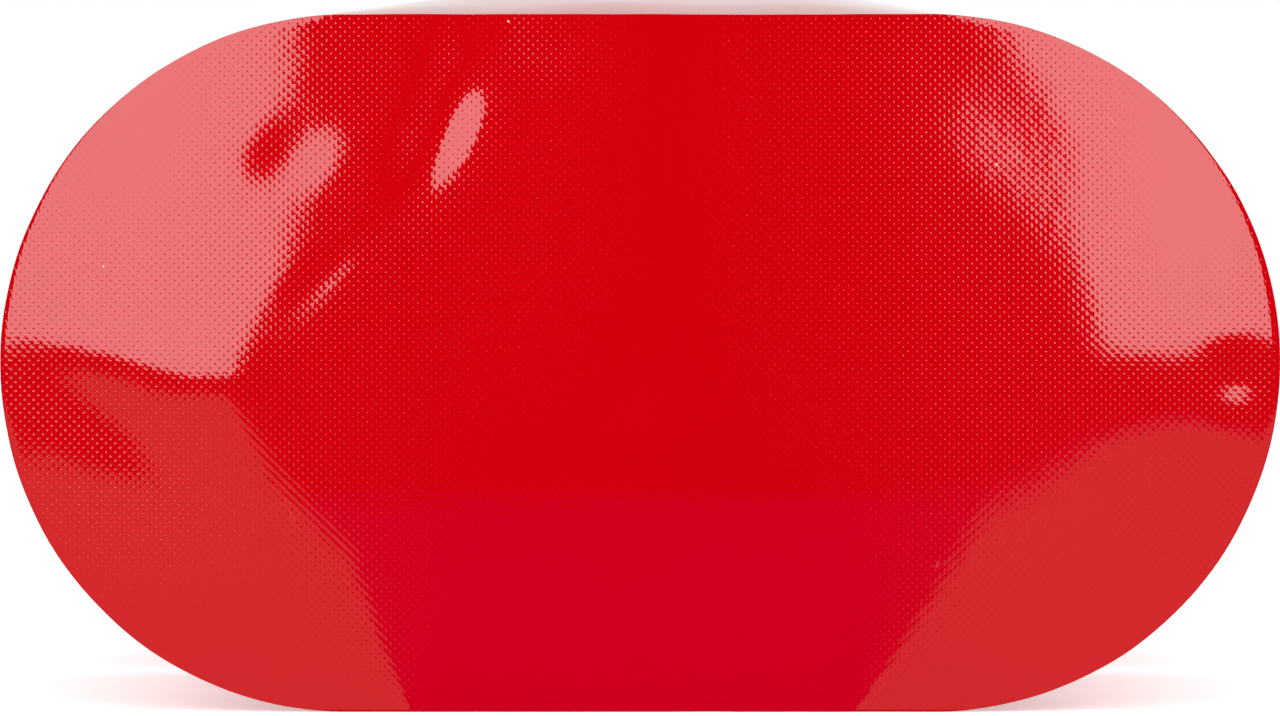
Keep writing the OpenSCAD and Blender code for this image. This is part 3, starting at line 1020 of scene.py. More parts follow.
@dataclass
class BasePanel:
    """The glossy panel of coated fabric that closes the bag's base.

    Attributes:
        form: The bag's form.
        thickness: Thickness of the coated fabric.
        ring: Distance between two rings of the mesh.
        edge: Width of the crushed edge that the cutting knife leaves.
        wander: How far the hand-cut edge strays.
        stray_w: Width of the rim that strays with the edge.
        stray_rate: How quickly the edge strays along its length, in 1/m.
        crush: How far the crushed edge is pressed in, as a share of its width.
        dents: The dents and ripples of the stretched fabric.
    """

    form: BagForm
    thickness: float = 0.9 * MM
    ring: float = 1.5 * MM
    edge: float = 0.35 * MM
    wander: float = 0.12 * MM
    stray_w: float = 4 * MM
    stray_rate: float = 90.0
    crush: float = 0.25
    dents: Sequence[Dent] = (
        Dent(-40, 46, 4.2, 11, -25, -0.8),
        Dent(-27, 61, 8, 4.5, -10, -0.6),
        Dent(-61, 19, 2.2, 8, -46, -0.14),
        Dent(-69, 41, 7, 4.5, 25, -0.3),
        Dent(-36, 67, 1.8, 5, 0, -0.1),
        Dent(-26, 68, 1.8, 5, 0, -0.1),
        Dent(74, 46, 16, 9, -39, -0.3),
        Dent(108, 15, 21, 26, 0, 1.45),
        Dent(106, -9, 14, 15, 0, 0.65),
        Dent(118, -3, 3.5, 3.5, 0, -0.3),
        Dent(-102, 1, 16, 5.5, -12, 0.22),
        Dent(-84, -4, 8, 10, -30, 0.4),
        Dent(-104, -13, 13, 4.5, -36, -0.13),
    )

    def height(self, x: float, z: float) -> float:
        """Returns how far the panel stands proud of the flat base, at a place in the frame."""
        rise = sum(dent.at(x / MM, (z - self.form.centre_z) / MM) for dent in self.dents)
        return self.form.crown(x, z) + rise * MM

    def build(self) -> bpy.types.Object:
        form = self.form
        piece = obround_loop("base_panel_fabric", form, form.panel_r, form.base_y)
        with editing(piece):
            bpy.ops.mesh.select_all(action="SELECT")
            bpy.ops.mesh.edge_face_add()
            bpy.ops.mesh.select_mode(type="FACE")
            bpy.ops.mesh.select_all(action="SELECT")
            bpy.ops.mesh.inset(thickness=self.edge)
            for _ in range(int(form.panel_r / self.ring) - 1):
                bpy.ops.mesh.inset(thickness=self.ring)
            bpy.ops.mesh.quads_convert_to_tris(ngon_method="BEAUTY")
        with editing(piece):
            pick(piece, Part.VERTICES, lambda vertex: self.beyond(vertex.co) < -4 * self.ring)
            bpy.ops.mesh.remove_doubles(threshold=0.5 * self.ring)
        unwrap(piece, lambda co: (co.x, co.z))
        reshape(piece, self.place)
        face_outwards(piece)
        self.turn_to_camera(piece)
        modify(
            piece, "SOLIDIFY", thickness=self.thickness, offset=-1, material_offset_rim=1, material_offset=2
        )
        for face in piece.data.polygons:
            if face.material_index == 0 and self.beyond(face.center) > -self.edge:
                face.material_index = 1
        soften(piece, 40)
        dress(piece, FABRIC, CUT_EDGE, REVERSE)
        settle(piece, "coated_fabric_base", "base_panel")
        return piece

    def place(self, co: Vector) -> Vector:
        """Moves a point of the flat panel to its dented place, and lets the cut edge stray a little."""
        out_x, out_z = self.form.outward(co.x, co.z)
        margin = -self.beyond(co)
        edge = max(0.0, 1 - margin / self.stray_w)
        along = Vector((co.x * self.stray_rate, co.z * self.stray_rate, 0.5))
        stray = self.wander * edge * noise.noise(along)
        crushed = self.crush * self.edge if margin < self.edge / 2 else 0.0
        y = co.y - self.height(co.x, co.z) + crushed
        return Vector((co.x + out_x * stray, y, co.z + out_z * stray))

    def beyond(self, co: Vector) -> float:
        """Returns how far a place lies outside the panel's outline; less than 0 is inside."""
        reach = math.hypot(max(abs(co.x) - self.form.arc_x, 0.0), co.z - self.form.centre_z)
        return reach - self.form.panel_r

    def turn_to_camera(self, piece: bpy.types.Object) -> None:
        """Makes the open panel's faces point out of the bag."""
        if sum(face.normal.y * face.area for face in piece.data.polygons) > 0:
            with editing(piece):
                bpy.ops.mesh.select_all(action="SELECT")
                bpy.ops.mesh.flip_normals()


@dataclass
class Wall:
    """The wall of coated fabric, with its flange turned in behind the base panel.

    Attributes:
        form: The bag's form.
        flange: Width of the flange.
        step: Size of its faces along the bag.
    """

    form: BagForm
    flange: float = 12.0 * MM
    step: float = 4.0 * MM

    def build(self) -> bpy.types.Object:
        form = self.form
        length = self.flange + form.mouth_at - form.flange_at
        piece = obround_loop("body_wall_fabric", form, form.wall_r, 0.0)
        draw_out(piece, length, round(length / self.step))
        unwrap(piece, lambda co: (form.round_about(co.x, co.z), co.y), form.girth)
        reshape(piece, self.place)
        face_outwards(piece)
        modify(
            piece, "SOLIDIFY", thickness=form.wall_t, offset=-1, use_even_offset=True,
            material_offset_rim=1, material_offset=2,
        )
        soften(piece, 50)
        dress(piece, FABRIC, CUT_EDGE, REVERSE)
        settle(piece, "coated_fabric_wall", "body_wall")
        return piece

    def place(self, co: Vector) -> Vector:
        """Moves a point of the straight tube onto the wall or its flange."""
        form = self.form
        run = form.round_about(co.x, co.z)
        at = co.y - self.flange
        if at >= 0:
            return form.surface(run, form.flange_at + at)
        corner = form.surface(run, form.flange_at)
        _, _, out_x, out_z = form.outline(run)
        return corner + Vector((out_x * at, 0, out_z * at))


@dataclass
class Ribbon:
    """A layer that follows the wall all the way round, such as the reflective band.

    Attributes:
        form: The bag's form.
        name: The piece's name.
        node: The CAD node that it stands for.
        off: Height of its inner face off the wall.
        thickness: Its thickness.
        finish: Its material.
        slot: The record's material slot.
    """

    form: BagForm
    name: str
    node: str
    off: float
    thickness: float
    finish: Finish
    slot: str

    def build(self) -> bpy.types.Object:
        """Models and dresses the layer."""
        form = self.form
        start, end = form.span(self.node)
        length = end - start
        piece = obround_loop(self.name, form, form.wall_r, 0.0)
        draw_out(piece, length, 8)
        unwrap(piece, lambda co: (form.round_about(co.x, co.z), co.y), form.girth)
        reshape(piece, lambda co: form.surface(form.round_about(co.x, co.z), start + co.y, self.off))
        face_outwards(piece)
        modify(piece, "SOLIDIFY", thickness=self.thickness, offset=1, use_even_offset=True)
        soften(piece, 50)
        dress(piece, self.finish)
        settle(piece, self.slot, self.node)
        return piece


@dataclass
class MouthBinding:
    """Grosgrain tape folded over the wall's free edge and sewn through.

    Attributes:
        form: The bag's form.
        gap: Space between the tape and the wall.
        thickness: Thickness of the tape.
        soft: Size of the tape's worn corners.
        flat: Length of each face of the tape that lies flat on the wall.
    """

    form: BagForm
    gap: float = FIT
    thickness: float = 1.0 * MM
    soft: float = 0.3 * MM
    flat: float = 9 * MM

    def profile(self) -> list[tuple[float, float]]:
        """Returns the tape's section, as heights off the wall and distances from the base, in one round."""
        start, end = self.form.span("mouth_binding")
        inner = -self.form.wall_t - self.gap
        outer = self.gap
        full = self.thickness
        fold = (outer - inner) / 2 + full
        middle = (outer + inner) / 2
        corner = start + self.soft
        points = [(outer, corner), (outer + self.soft, start), (outer + full - self.soft, start)]
        points += [(outer + full, corner), (outer + full, start + self.flat)]
        for step in range(7):
            angle = math.pi * step / 6
            points.append((middle + fold * math.cos(angle), end - fold * (1 - math.sin(angle))))
        points += [(inner - full, start + self.flat), (inner - full, corner)]
        points += [(inner - full + self.soft, start), (inner - self.soft, start), (inner, corner)]
        points += [(inner, end - fold), (outer, end - fold), (outer, corner)]
        return points

    def build(self) -> bpy.types.Object:
        """Models and dresses the binding."""
        form = self.form
        points = self.profile()
        piece = obround_loop("mouth_binding_tape", form, form.wall_r, 0.0)
        draw_out(piece, (len(points) - 1) * MM, len(points) - 1)
        lengths = [0.0]
        for (off_a, at_a), (off_b, at_b) in zip(points, points[1:]):
            lengths.append(lengths[-1] + math.hypot(off_b - off_a, at_b - at_a))
        unwrap(piece, lambda co: (form.round_about(co.x, co.z), lengths[round(co.y / MM)]), form.girth)

        def fold(co: Vector) -> Vector:
            """Moves a point of the straight tube onto the folded tape."""
            off, at = points[round(co.y / MM)]
            return form.surface(form.round_about(co.x, co.z), at, off)

        reshape(piece, fold)
        face_outwards(piece)
        soften(piece, 40)
        dress(piece, BINDING)
        return settle(piece, "binding", "mouth_binding")


@dataclass
class FrontSheet:
    """A small sheet on the swollen front wall: the blank card or the clear window over it.

    Attributes:
        form: The bag's form.
        name: The piece's name.
        node: The CAD node that it stands for.
        off: Height of its inner face off the wall.
        thickness: Its thickness.
        finish: Its material.
        slot: The record's material slot.
        corner: Size of its rounded corners.
        pitch: Size of its faces.
    """

    form: BagForm
    name: str
    node: str
    off: float
    thickness: float
    finish: Finish
    slot: str
    corner: float = 4.0 * MM
    pitch: float = 1.6 * MM

    def build(self) -> bpy.types.Object:
        """Models and dresses the sheet, with rounded corners."""
        form = self.form
        low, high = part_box(self.node)
        start, end = form.span(self.node)
        length = end - start
        half = (high.x - low.x) / 2
        piece = strip(self.name, length, 2 * half, self.pitch)
        with editing(piece):
            pick(piece, Part.VERTICES, lambda v: self.is_corner(v, length, half))
            bpy.ops.mesh.bevel(affect="VERTICES", offset=self.corner, segments=5)

        def lay(co: Vector) -> Vector:
            """Moves a point of the flat sheet onto the wall."""
            return form.surface(co.y, start + co.x, self.off)

        reshape(piece, lay)
        face_outwards(piece)
        up = sum(face.normal.z * face.area for face in piece.data.polygons)
        modify(piece, "SOLIDIFY", thickness=self.thickness, offset=1 if up > 0 else -1)
        if up <= 0:
            face_outwards(piece)
        soften(piece, 40)
        dress(piece, self.finish)
        return settle(piece, self.slot, self.node)

    @staticmethod
    def is_corner(vertex: bmesh.types.BMVert, length: float, half: float) -> bool:
        """Says whether a vertex is one of the strip's four corners."""
        near = 0.01 * MM
        at_end = min(abs(vertex.co.x), abs(vertex.co.x - length)) < near
        return at_end and abs(abs(vertex.co.y) - half) < near


# --------------------------------------------------------------------- insides


@dataclass
class FoamBlock:
    """A foam block cut to the bag's outline, with or without pockets for the flares.

    Attributes:
        form: The bag's form.
        name: The piece's name.
        node: The CAD node that it stands for.
        pockets: Names of the flare tubes that it holds.
        clearance: Gap between a flare and its pocket.
        rim: Size of the worn edge.
    """

    form: BagForm
    name: str
    node: str
    pockets: Sequence[str] = ()
    clearance: float = 0.3 * MM
    rim: float = 1.2 * MM

    def build(self) -> bpy.types.Object:
        low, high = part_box(self.node)
        radius = (high.z - low.z) / 2
        depth = high.y - low.y
        piece = obround_loop(self.name, self.form, radius, low.y, turns=96, cuts=0)
        with editing(piece):
            bpy.ops.mesh.select_all(action="SELECT")
            bpy.ops.mesh.edge_face_add()
            bpy.ops.mesh.extrude_region_move(TRANSFORM_OT_translate={"value": (0, depth, 0)})
        face_outwards(piece)
        for tube in self.pockets:
            self.bore(piece, tube, low.y, depth)
        round_edges(piece, self.rim, 3, 50)
        face_outwards(piece)
        soften(piece, 40)
        dress(piece, FOAM)
        settle(piece, "foam", self.node)
        return piece

    def bore(self, piece: bpy.types.Object, tube: str, y: float, depth: float) -> None:
        """Cuts the pocket of one flare through the block.

        Args:
            piece: The block.
            tube: The CAD node of the flare's tube.
            y: Where the block starts.
            depth: Depth of the block.
        """
        low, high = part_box(tube)
        deselect()
        bpy.ops.mesh.primitive_cylinder_add(
            vertices=64,
            radius=(high.x - low.x) / 2 + self.clearance,
            depth=2 * depth,
            location=((low.x + high.x) / 2, y + depth / 2, (low.z + high.z) / 2),
            rotation=(math.pi / 2, 0, 0),
        )
        cutter = named("cutter")
        modify(piece, "BOOLEAN", object=cutter, operation="DIFFERENCE", solver="EXACT")
        bpy.data.objects.remove(cutter)


@dataclass
class SeamTape:
    """The welded tape inside the left end, over the wall's long seam.

    Attributes:
        form: The bag's form.
        thickness: Thickness of the tape.
        pitch: Size of its faces.
    """

    form: BagForm
    thickness: float = 0.7 * MM
    pitch: float = 2.5 * MM

    def build(self) -> bpy.types.Object:
        form = self.form
        low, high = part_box("seam_tape")
        start, end = form.span("seam_tape")
        length = end - start
        radius = form.wall_r - form.wall_t - FIT
        width = 2 * radius * math.asin((high.z - low.z) / 2 / radius)
        piece = strip("seam_tape_strip", length, width, self.pitch)

        def lay(co: Vector) -> Vector:
            """Moves a point of the flat strip onto the wall's inside."""
            angle = co.y / radius
            x = -form.arc_x - radius * math.cos(angle)
            return Vector((x, form.base_y + start + co.x, form.centre_z + radius * math.sin(angle)))

        reshape(piece, lay)
        face_outwards(piece)
        inwards = sum(face.normal.x * face.area for face in piece.data.polygons) > 0
        modify(piece, "SOLIDIFY", thickness=self.thickness, offset=1 if inwards else -1)
        face_outwards(piece)
        round_edges(piece, 0.25 * MM, 2, 60)
        soften(piece, 40)
        dress(piece, REVERSE)
        settle(piece, "seam_tape", "seam_tape")
        return piece


# ------------------------------------------------------------- webbing fittings


class Side(Enum):
    """The two round ends of the bag."""

    LEFT = -1
    RIGHT = 1

    @property
    def label(self) -> str:
        """The end's name, as the CAD nodes have it."""
        return self.name.lower()


@dataclass
class EndStrap:
    """A strap that runs along one round end of the bag.

    Attributes:
        form: The bag's form.
        side: The end that it is sewn to.
        width: Width of the webbing.
        thickness: Thickness of the webbing.
    """

    form: BagForm
    side: Side
    width: float = 38.0 * MM
    thickness: float = 1.8 * MM

    def place(self, radial: float, at: float, across: float, flatness: float = 0.0) -> Vector:
        """Returns a place over the round end.

        Args:
            radial: Distance from the round end's axis.
            at: Distance from the base panel's face.
            across: Distance across the strap, upwards.
            flatness: 0 where the strap wraps the round end, 1 where it runs straight across.

        Returns:
            The place in the frame.
        """
        form = self.form
        angle = across / (form.wall_r + self.thickness)
        wrapped = Vector((radial * math.cos(angle), 0, radial * math.sin(angle)))
        straight = Vector((radial, 0, across))
        over = wrapped.lerp(straight, flatness)
        x = self.side.value * (form.arc_x + over.x)
        return Vector((x, form.base_y + at, form.centre_z + over.z))

    def finish_strap(self, piece: bpy.types.Object, thickness: float) -> None:
        """Gives a strap's middle sheet its thickness and soft selvedges."""
        face_outwards(piece)
        modify(piece, "SOLIDIFY", thickness=thickness, offset=0, use_even_offset=True)
        face_outwards(piece)
        round_edges(piece, 0.5 * MM, 2, 60)
        soften(piece, 45)
        dress(piece, WEBBING)


@dataclass
class SideHandle(EndStrap):
    """A short webbing handle with a moulded grip, sewn flat at both feet.

    Attributes:
        foot: Length of each sewn foot.
        bow: Length of the free part.
        rise: Height of the finger gap.
        grip_length: Length of the grip.
        grip_wall: Thickness of the grip.
        pitch: Size of the webbing's faces.
        sides: Faces round the grip.
        rings: Faces along the grip.
        rib: Height of the grip's ribs.
        rib_pitch: Spacing of the ribs.
        lip: Height of the smooth lip at each end of the grip.
        lip_length: Length of the lips.
        unrolled_r: Radius at which the grip's surface is unrolled.
    """

    foot: float = 22.0 * MM
    bow: float = 72.0 * MM
    rise: float = 10.0 * MM
    grip_length: float = 52.0 * MM
    grip_wall: float = 1.4 * MM
    pitch: float = 1.9 * MM
    sides: int = 40
    rings: int = 104
    rib: float = 0.28 * MM
    rib_pitch: float = 4 * MM
    lip: float = 0.35 * MM
    lip_length: float = 2.5 * MM
    unrolled_r: float = 20 * MM

    @cached_property
    def start(self) -> float:
        """Distance from the base panel's face to the handle's first foot."""
        return self.form.span(f"{self.side.label}_handle")[0]

    def lift(self, along: float) -> float:
        """Returns how far the webbing's middle stands off its sewn height, at a distance along the handle."""
        share = (along - self.foot) / self.bow
        if not 0 < share < 1:
            return 0.0
        return self.rise * (1 - (2 * share - 1) ** 2) ** 1.2

    def at(self, along: float, across: float, off: float = 0.0) -> Vector:
        """Returns a place on or off the middle of the webbing."""
        sewn = self.form.wall_r + FIT + self.thickness / 2
        return self.place(sewn + self.lift(along) + off, self.start + along, across)

    def build(self) -> None:
        """Models and dresses the handle and its grip."""
        length = 2 * self.foot + self.bow
        piece = strip(f"{self.side.label}_handle_webbing", length, self.width, self.pitch)
        reshape(piece, lambda co: self.at(co.x, co.y))
        self.finish_strap(piece, self.thickness)
        settle(piece, "webbing", f"{self.side.label}_handle")
        self.build_grip()

    def build_grip(self) -> None:
        """Models the ribbed rubber sleeve that is drawn over the handle's bow."""
        middle = self.foot + self.bow / 2
        half_w = self.width / 2 + self.grip_wall
        half_t = self.thickness / 2 + self.grip_wall
        deselect()
        bpy.ops.mesh.primitive_circle_add(vertices=self.sides, radius=1.0)
        piece = named(f"{self.side.label}_grip_sleeve")
        with editing(piece):
            bpy.ops.mesh.select_all(action="SELECT")
            for _ in range(self.rings):
                bpy.ops.mesh.extrude_region_move(TRANSFORM_OT_translate={"value": (0, 0, 1.0)})
        around = self.unrolled_r
        unwrap(piece, lambda co: (co.z * MM, math.atan2(co.y, co.x) * around), 2 * math.pi * around)

        def squeeze(co: Vector) -> Vector:
            """Moves a point of the round tube onto the flat ribbed sleeve."""
            share = co.z / self.rings
            along = middle + (share - 0.5) * self.grip_length
            angle = math.atan2(co.y, co.x)
            c, s = math.cos(angle), math.sin(angle)
            end = min(share, 1 - share) * self.grip_length
            ribbed = self.rib * (0.5 + 0.5 * math.cos(2 * math.pi * along / self.rib_pitch))
            raised = self.lip if end < self.lip_length else ribbed
            across = half_w * math.copysign(abs(c) ** 0.35, c)
            off = (half_t + raised * max(s, 0.0)) * math.copysign(abs(s) ** 0.55, s)
            return self.at(along, across, off)

        reshape(piece, squeeze)
        face_outwards(piece)
        modify(piece, "SOLIDIFY", thickness=self.grip_wall - FIT, offset=-1)
        face_outwards(piece)
        soften(piece, 40)
        dress(piece, RUBBER)
        settle(piece, "grip", f"{self.side.label}_grip")


@dataclass
class RingTab(EndStrap):
    """A webbing tab folded round the bar of a D-ring and sewn flat.

    Attributes:
        loop_gap: Gap between the fold and the ring's bar.
        pitch: Size of the webbing's faces.
        back: Length over which the upper layer comes down from the fold.
    """

    loop_gap: float = 0.1 * MM
    pitch: float = 1.4 * MM
    back: float = 9 * MM

    def build(self) -> None:
        """Models and dresses the tab."""
        label = self.side.label
        form = self.form
        start = form.span(f"{label}_tab")[0]
        ring_low, ring_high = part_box(f"{label}_d_ring")
        wire = (ring_high.x - ring_low.x) / 2
        bar_at = ring_low.y + wire - form.base_y
        bar_r = (ring_low.x + ring_high.x) / 2 * self.side.value - form.arc_x
        turn = wire + self.loop_gap + self.thickness / 2
        route = self.route(start, bar_at, bar_r, turn)
        lengths = [0.0]
        for first, second in zip(route, route[1:]):
            lengths.append(lengths[-1] + math.dist(first, second))
        total = lengths[-1]
        piece = strip(f"{label}_tab_webbing", total, self.width, self.pitch)

        def follow(co: Vector) -> Vector:
            """Moves a point of the flat strip onto the folded tab."""
            index = next((i for i in range(1, len(lengths)) if co.x <= lengths[i]), len(lengths) - 1)
            share = (co.x - lengths[index - 1]) / (lengths[index] - lengths[index - 1])
            radial, at = (a + share * (b - a) for a, b in zip(route[index - 1], route[index]))
            flatness = smooth((at - start - 6 * MM) / (bar_at - start - 8 * MM))
            return self.place(radial, at, co.y, flatness)

        reshape(piece, follow)
        self.finish_strap(piece, self.thickness - 0.1 * MM)
        settle(piece, "webbing", f"{label}_tab")

    def route(self, start: float, bar_at: float, bar_r: float, turn: float) -> list[tuple[float, float]]:
        """Returns the strap's middle line as distances from the round end's axis and from the base.

        Args:
            start: Where the sewn part begins.
            bar_at: Distance of the ring's bar from the base.
            bar_r: Distance of the ring's bar from the round end's axis.
            turn: Radius of the fold round the bar.

        Returns:
            The points of the line, from the lower layer round the bar to the upper one.
        """
        lower = bar_r - turn
        upper = lower + self.thickness
        points = [(lower, start)]
        for step in range(13):
            angle = -math.pi / 2 + math.pi * step / 12
            points.append((bar_r + turn * math.sin(angle), bar_at + turn * math.cos(angle)))
        rise = bar_r + turn - upper
        for share in (step / 8 for step in range(1, 9)):
            points.append((bar_r + turn - rise * smooth(share), bar_at - self.back * share))
        points.append((upper, start))
        return points


# -------------------------------------------------------------------- stitches


@dataclass
class Stitching:
    """Rows of lock stitches, each stitch a short rounded bead of thread.

    Attributes:
        name: The piece's name.
        length: Length of a stitch.
        gap: Gap between two stitches.
        thread: Thickness of the thread.
        finish: The thread's material.
        fill: Largest share of its place that a stitch takes up in a short row.
        flatness: How far the thread is pressed flat.
        rows: Each stitch's middle, span and direction off the cloth.
    """

    name: str
    length: float = 2.9 * MM
    gap: float = 1.0 * MM
    thread: float = 0.55 * MM
    finish: Finish = THREAD
    fill: float = 0.75
    flatness: float = 0.8
    rows: list[tuple[Vector, Vector, Vector]] = field(default_factory=list)

    def row(self, path: Callable[[float], Vector], out: Callable[[float], Vector], total: float) -> None:
        """Adds a row of stitches along a path.

        Args:
            path: Takes a distance along the row and returns the place there.
            out: Takes a distance along the row and returns the direction off the cloth.
            total: The row's length.
        """
        count = max(1, round(total / (self.length + self.gap)))
        half = min(self.length, total / count * self.fill) / 2
        for index in range(count):
            middle = (index + 0.5) * total / count
            self.rows.append((path(middle), path(middle + half) - path(middle - half), out(middle)))

    def sides(self, corners: Sequence, place: Callable[[float, float], Vector], out: Vector) -> None:
        """Adds a row along each side of a figure that is drawn on flat cloth.

        Args:
            corners: The figure's corners in turn, each two distances on the flat cloth.
            place: Takes two distances on the flat cloth and returns the place there.
            out: The direction off the cloth.
        """
        for first, last in zip(corners, corners[1:]):
            total = math.dist(first, last)

            def path(run: float, first: tuple = first, last: tuple = last, total: float = total) -> Vector:
                """Returns the place at a distance along one side."""
                return place(*(a + run / total * (b - a) for a, b in zip(first, last)))

            self.row(path, lambda run: out, total)

    def bead(self, stitch: bpy.types.Object) -> Iterator[bpy.types.Object]:
        """Makes a copy of the stitch, with its own mesh, at each place of the rows."""
        for middle, span, out in self.rows:
            bead = bpy.data.objects.new("bead", stitch.data.copy())
            bpy.context.scene.collection.objects.link(bead)
            forward = span.normalized()
            across = forward.cross(out).normalized()
            lift = across.cross(forward).normalized()
            for vertex in bead.data.vertices:
                co = vertex.co
                sideways = across * (co.x * self.thread) + lift * (co.y * self.thread * self.flatness)
                vertex.co = middle + forward * (co.z / STITCH_LENGTH * span.length) + sideways
            yield bead

    def build(self, slot: str) -> bpy.types.Object:
        """Models one stitch, copies it along the rows and joins the copies."""
        deselect()
        bpy.ops.mesh.primitive_uv_sphere_add(segments=6, ring_count=4, radius=0.5)
        stitch = named("stitch")
        with editing(stitch):
            for way in (1, -1):
                pick(stitch, Part.VERTICES, lambda vertex: vertex.co.z * way > 0.1)
                bpy.ops.transform.translate(value=(0, 0, way * (STITCH_LENGTH - 1) / 2))
        beads = list(self.bead(stitch))
        deselect()
        for bead in beads:
            bead.select_set(True)
        bpy.context.view_layer.objects.active = beads[0]
        bpy.ops.object.join()
        piece = bpy.context.object
        piece.name = self.name
        piece.data.name = self.name
        bpy.data.objects.remove(stitch)
        soften(piece, 80)
        dress(piece, self.finish)
        return settle(piece, slot)


@dataclass
class Sewing:
    """All the sewn rows of the bag.

    Attributes:
        form: The bag's form.
        margin: Distance from the edge of the webbing to its stitches.
        binding_margin: Distance from the edge of the binding to its stitches.
        band_margin: Distance from the edges of the band to its stitches.
        window_margin: Distance from the edges of the window to its stitches.
        high: Height of the stitches on the binding and the window over the wall.
        low: Height of the stitches on the band over the wall.
        tab_rows: Distances of the rows on a ring tab from its sewn end.
    """

    form: BagForm
    margin: float = 3.0 * MM
    binding_margin: float = 3.5 * MM
    band_margin: float = 2.0 * MM
    window_margin: float = 2.2 * MM
    high: float = 1.05 * MM
    low: float = 0.45 * MM
    tab_rows: Sequence[float] = (2.5 * MM, 5 * MM, 10 * MM)

    def round_row(self, stitching: Stitching, at: float, off: float) -> None:
        """Adds a row all round the wall.

        Args:
            stitching: The stitches that it joins.
            at: Distance from the base.
            off: Height off the wall.
        """
        form = self.form

        def out(run: float) -> Vector:
            """Returns the direction off the wall."""
            _, _, out_x, out_z = form.outline(run)
            return Vector((out_x, 0, out_z))

        stitching.row(lambda run: form.surface(run, at, off), out, form.girth)

    def build(self, handles: Sequence["SideHandle"], tabs: Sequence["RingTab"]) -> None:
        """Sews the binding, the band, the window, the handles and the tabs."""
        binding = Stitching("binding_stitches")
        self.round_row(binding, self.form.span("mouth_binding")[0] + self.binding_margin, self.high)
        binding.build("binding")

        band = Stitching("band_stitches", finish=PALE_THREAD, thread=0.4 * MM)
        start, end = self.form.span("reflective_band")
        for at in (start + self.band_margin, end - self.band_margin):
            self.round_row(band, at, self.low)
        band.build("reflective")

        webbing = Stitching("handle_stitches", length=2.4 * MM, gap=0.9 * MM)
        for handle in handles:
            for foot in (0.0, handle.foot + handle.bow):
                self.box_row(webbing, handle, foot)
        webbing.build("webbing")
        across = Stitching("tab_stitches", length=2.4 * MM, gap=0.9 * MM)
        for tab in tabs:
            self.tab_row(across, tab)
        across.build("webbing")
        self.window_rows()

    def box_row(self, stitching: Stitching, handle: "SideHandle", foot: float) -> None:
        """Adds a box of stitches with a cross in it to one foot of a handle.

        Args:
            stitching: The stitches that it joins.
            handle: The handle that is sewn down.
            foot: Where the foot begins along the handle.
        """
        half = handle.width / 2 - self.margin
        start, end = foot + self.margin, foot + handle.foot - self.margin
        box = [(start, -half), (end, -half), (end, half), (start, half)]
        for figure in (box + box[:1], box[::2], box[1::2]):
            stitching.sides(
                figure,
                lambda along, across: handle.at(along, across, handle.thickness / 2),
                Vector((handle.side.value, 0, 0)),
            )

    def tab_row(self, stitching: Stitching, tab: "RingTab") -> None:
        """Adds three rows of stitches across a ring tab."""
        start = self.form.span(f"{tab.side.label}_tab")[0]
        top = self.form.wall_r + FIT + 2 * tab.thickness
        half = tab.width / 2 - self.margin
        for row in self.tab_rows:
            at = start + row
            flatness = smooth((at - start - 6 * MM) / (16 * MM))
            stitching.sides(
                [(at, -half), (at, half)],
                lambda at, across: tab.place(top, at, across, flatness),
                Vector((tab.side.value, 0, 0)),
            )

    def window_rows(self) -> None:
        """Sews the clear window down on its three closed sides."""
        form = self.form
        low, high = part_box("label_window")
        start, end = form.span("label_window")
        near, far = start + self.window_margin, end - self.window_margin
        half = (high.x - low.x) / 2 - self.window_margin
        rows = Stitching("window_stitches", finish=PALE_THREAD, thread=0.4 * MM)
        corners = [(-half, far), (-half, near), (half, near), (half, far)]
        rows.sides(corners, lambda x, at: form.surface(x, at, self.high), Vector((0, 0, 1)))
        rows.build("window")


# ----------------------------------------------------------------- CAD dressing


@dataclass
class RigidPieces:
    """The pieces whose CAD shape is right, which only get their materials.

    Attributes:
        plain: The finish of each piece of the bag.
        parts: The finish of each piece of a flare but its tube.
    """

    plain: dict[str, Finish] = field(
        default_factory=lambda: {"base_board": BOARD, "left_d_ring": STEEL_WIRE, "right_d_ring": STEEL_WIRE}
    )
    parts: dict[str, Finish] = field(
        default_factory=lambda: {
            "fill": COMPOSITION, "button": IGNITER, "cap": CAP_PLASTIC, "striker": STRIKER_GRIT,
        }
    )

    def build(self, tubes: Sequence[str]) -> None:
        """Dresses the board, the rings and every piece of every flare.

        Args:
            tubes: Names of the flares' tubes.
        """
        for name, finish in self.plain.items():
            dress(frame["nodes"][name], finish)
        for tube in tubes:
            stem = tube.removesuffix("tube")
            low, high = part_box(tube)
            middle = (low + high) / 2
            paper = WaxedPaper(f"waxed_paper_{stem}tube", centre=(middle.x, middle.z))
            dress(frame["nodes"][tube], paper)
            for part, finish in self.parts.items():
                dress(frame["nodes"][stem + part], finish)
        LOG.info("dressed %d flares", len(tubes))


# ----------------------------------------------------------------------- studio


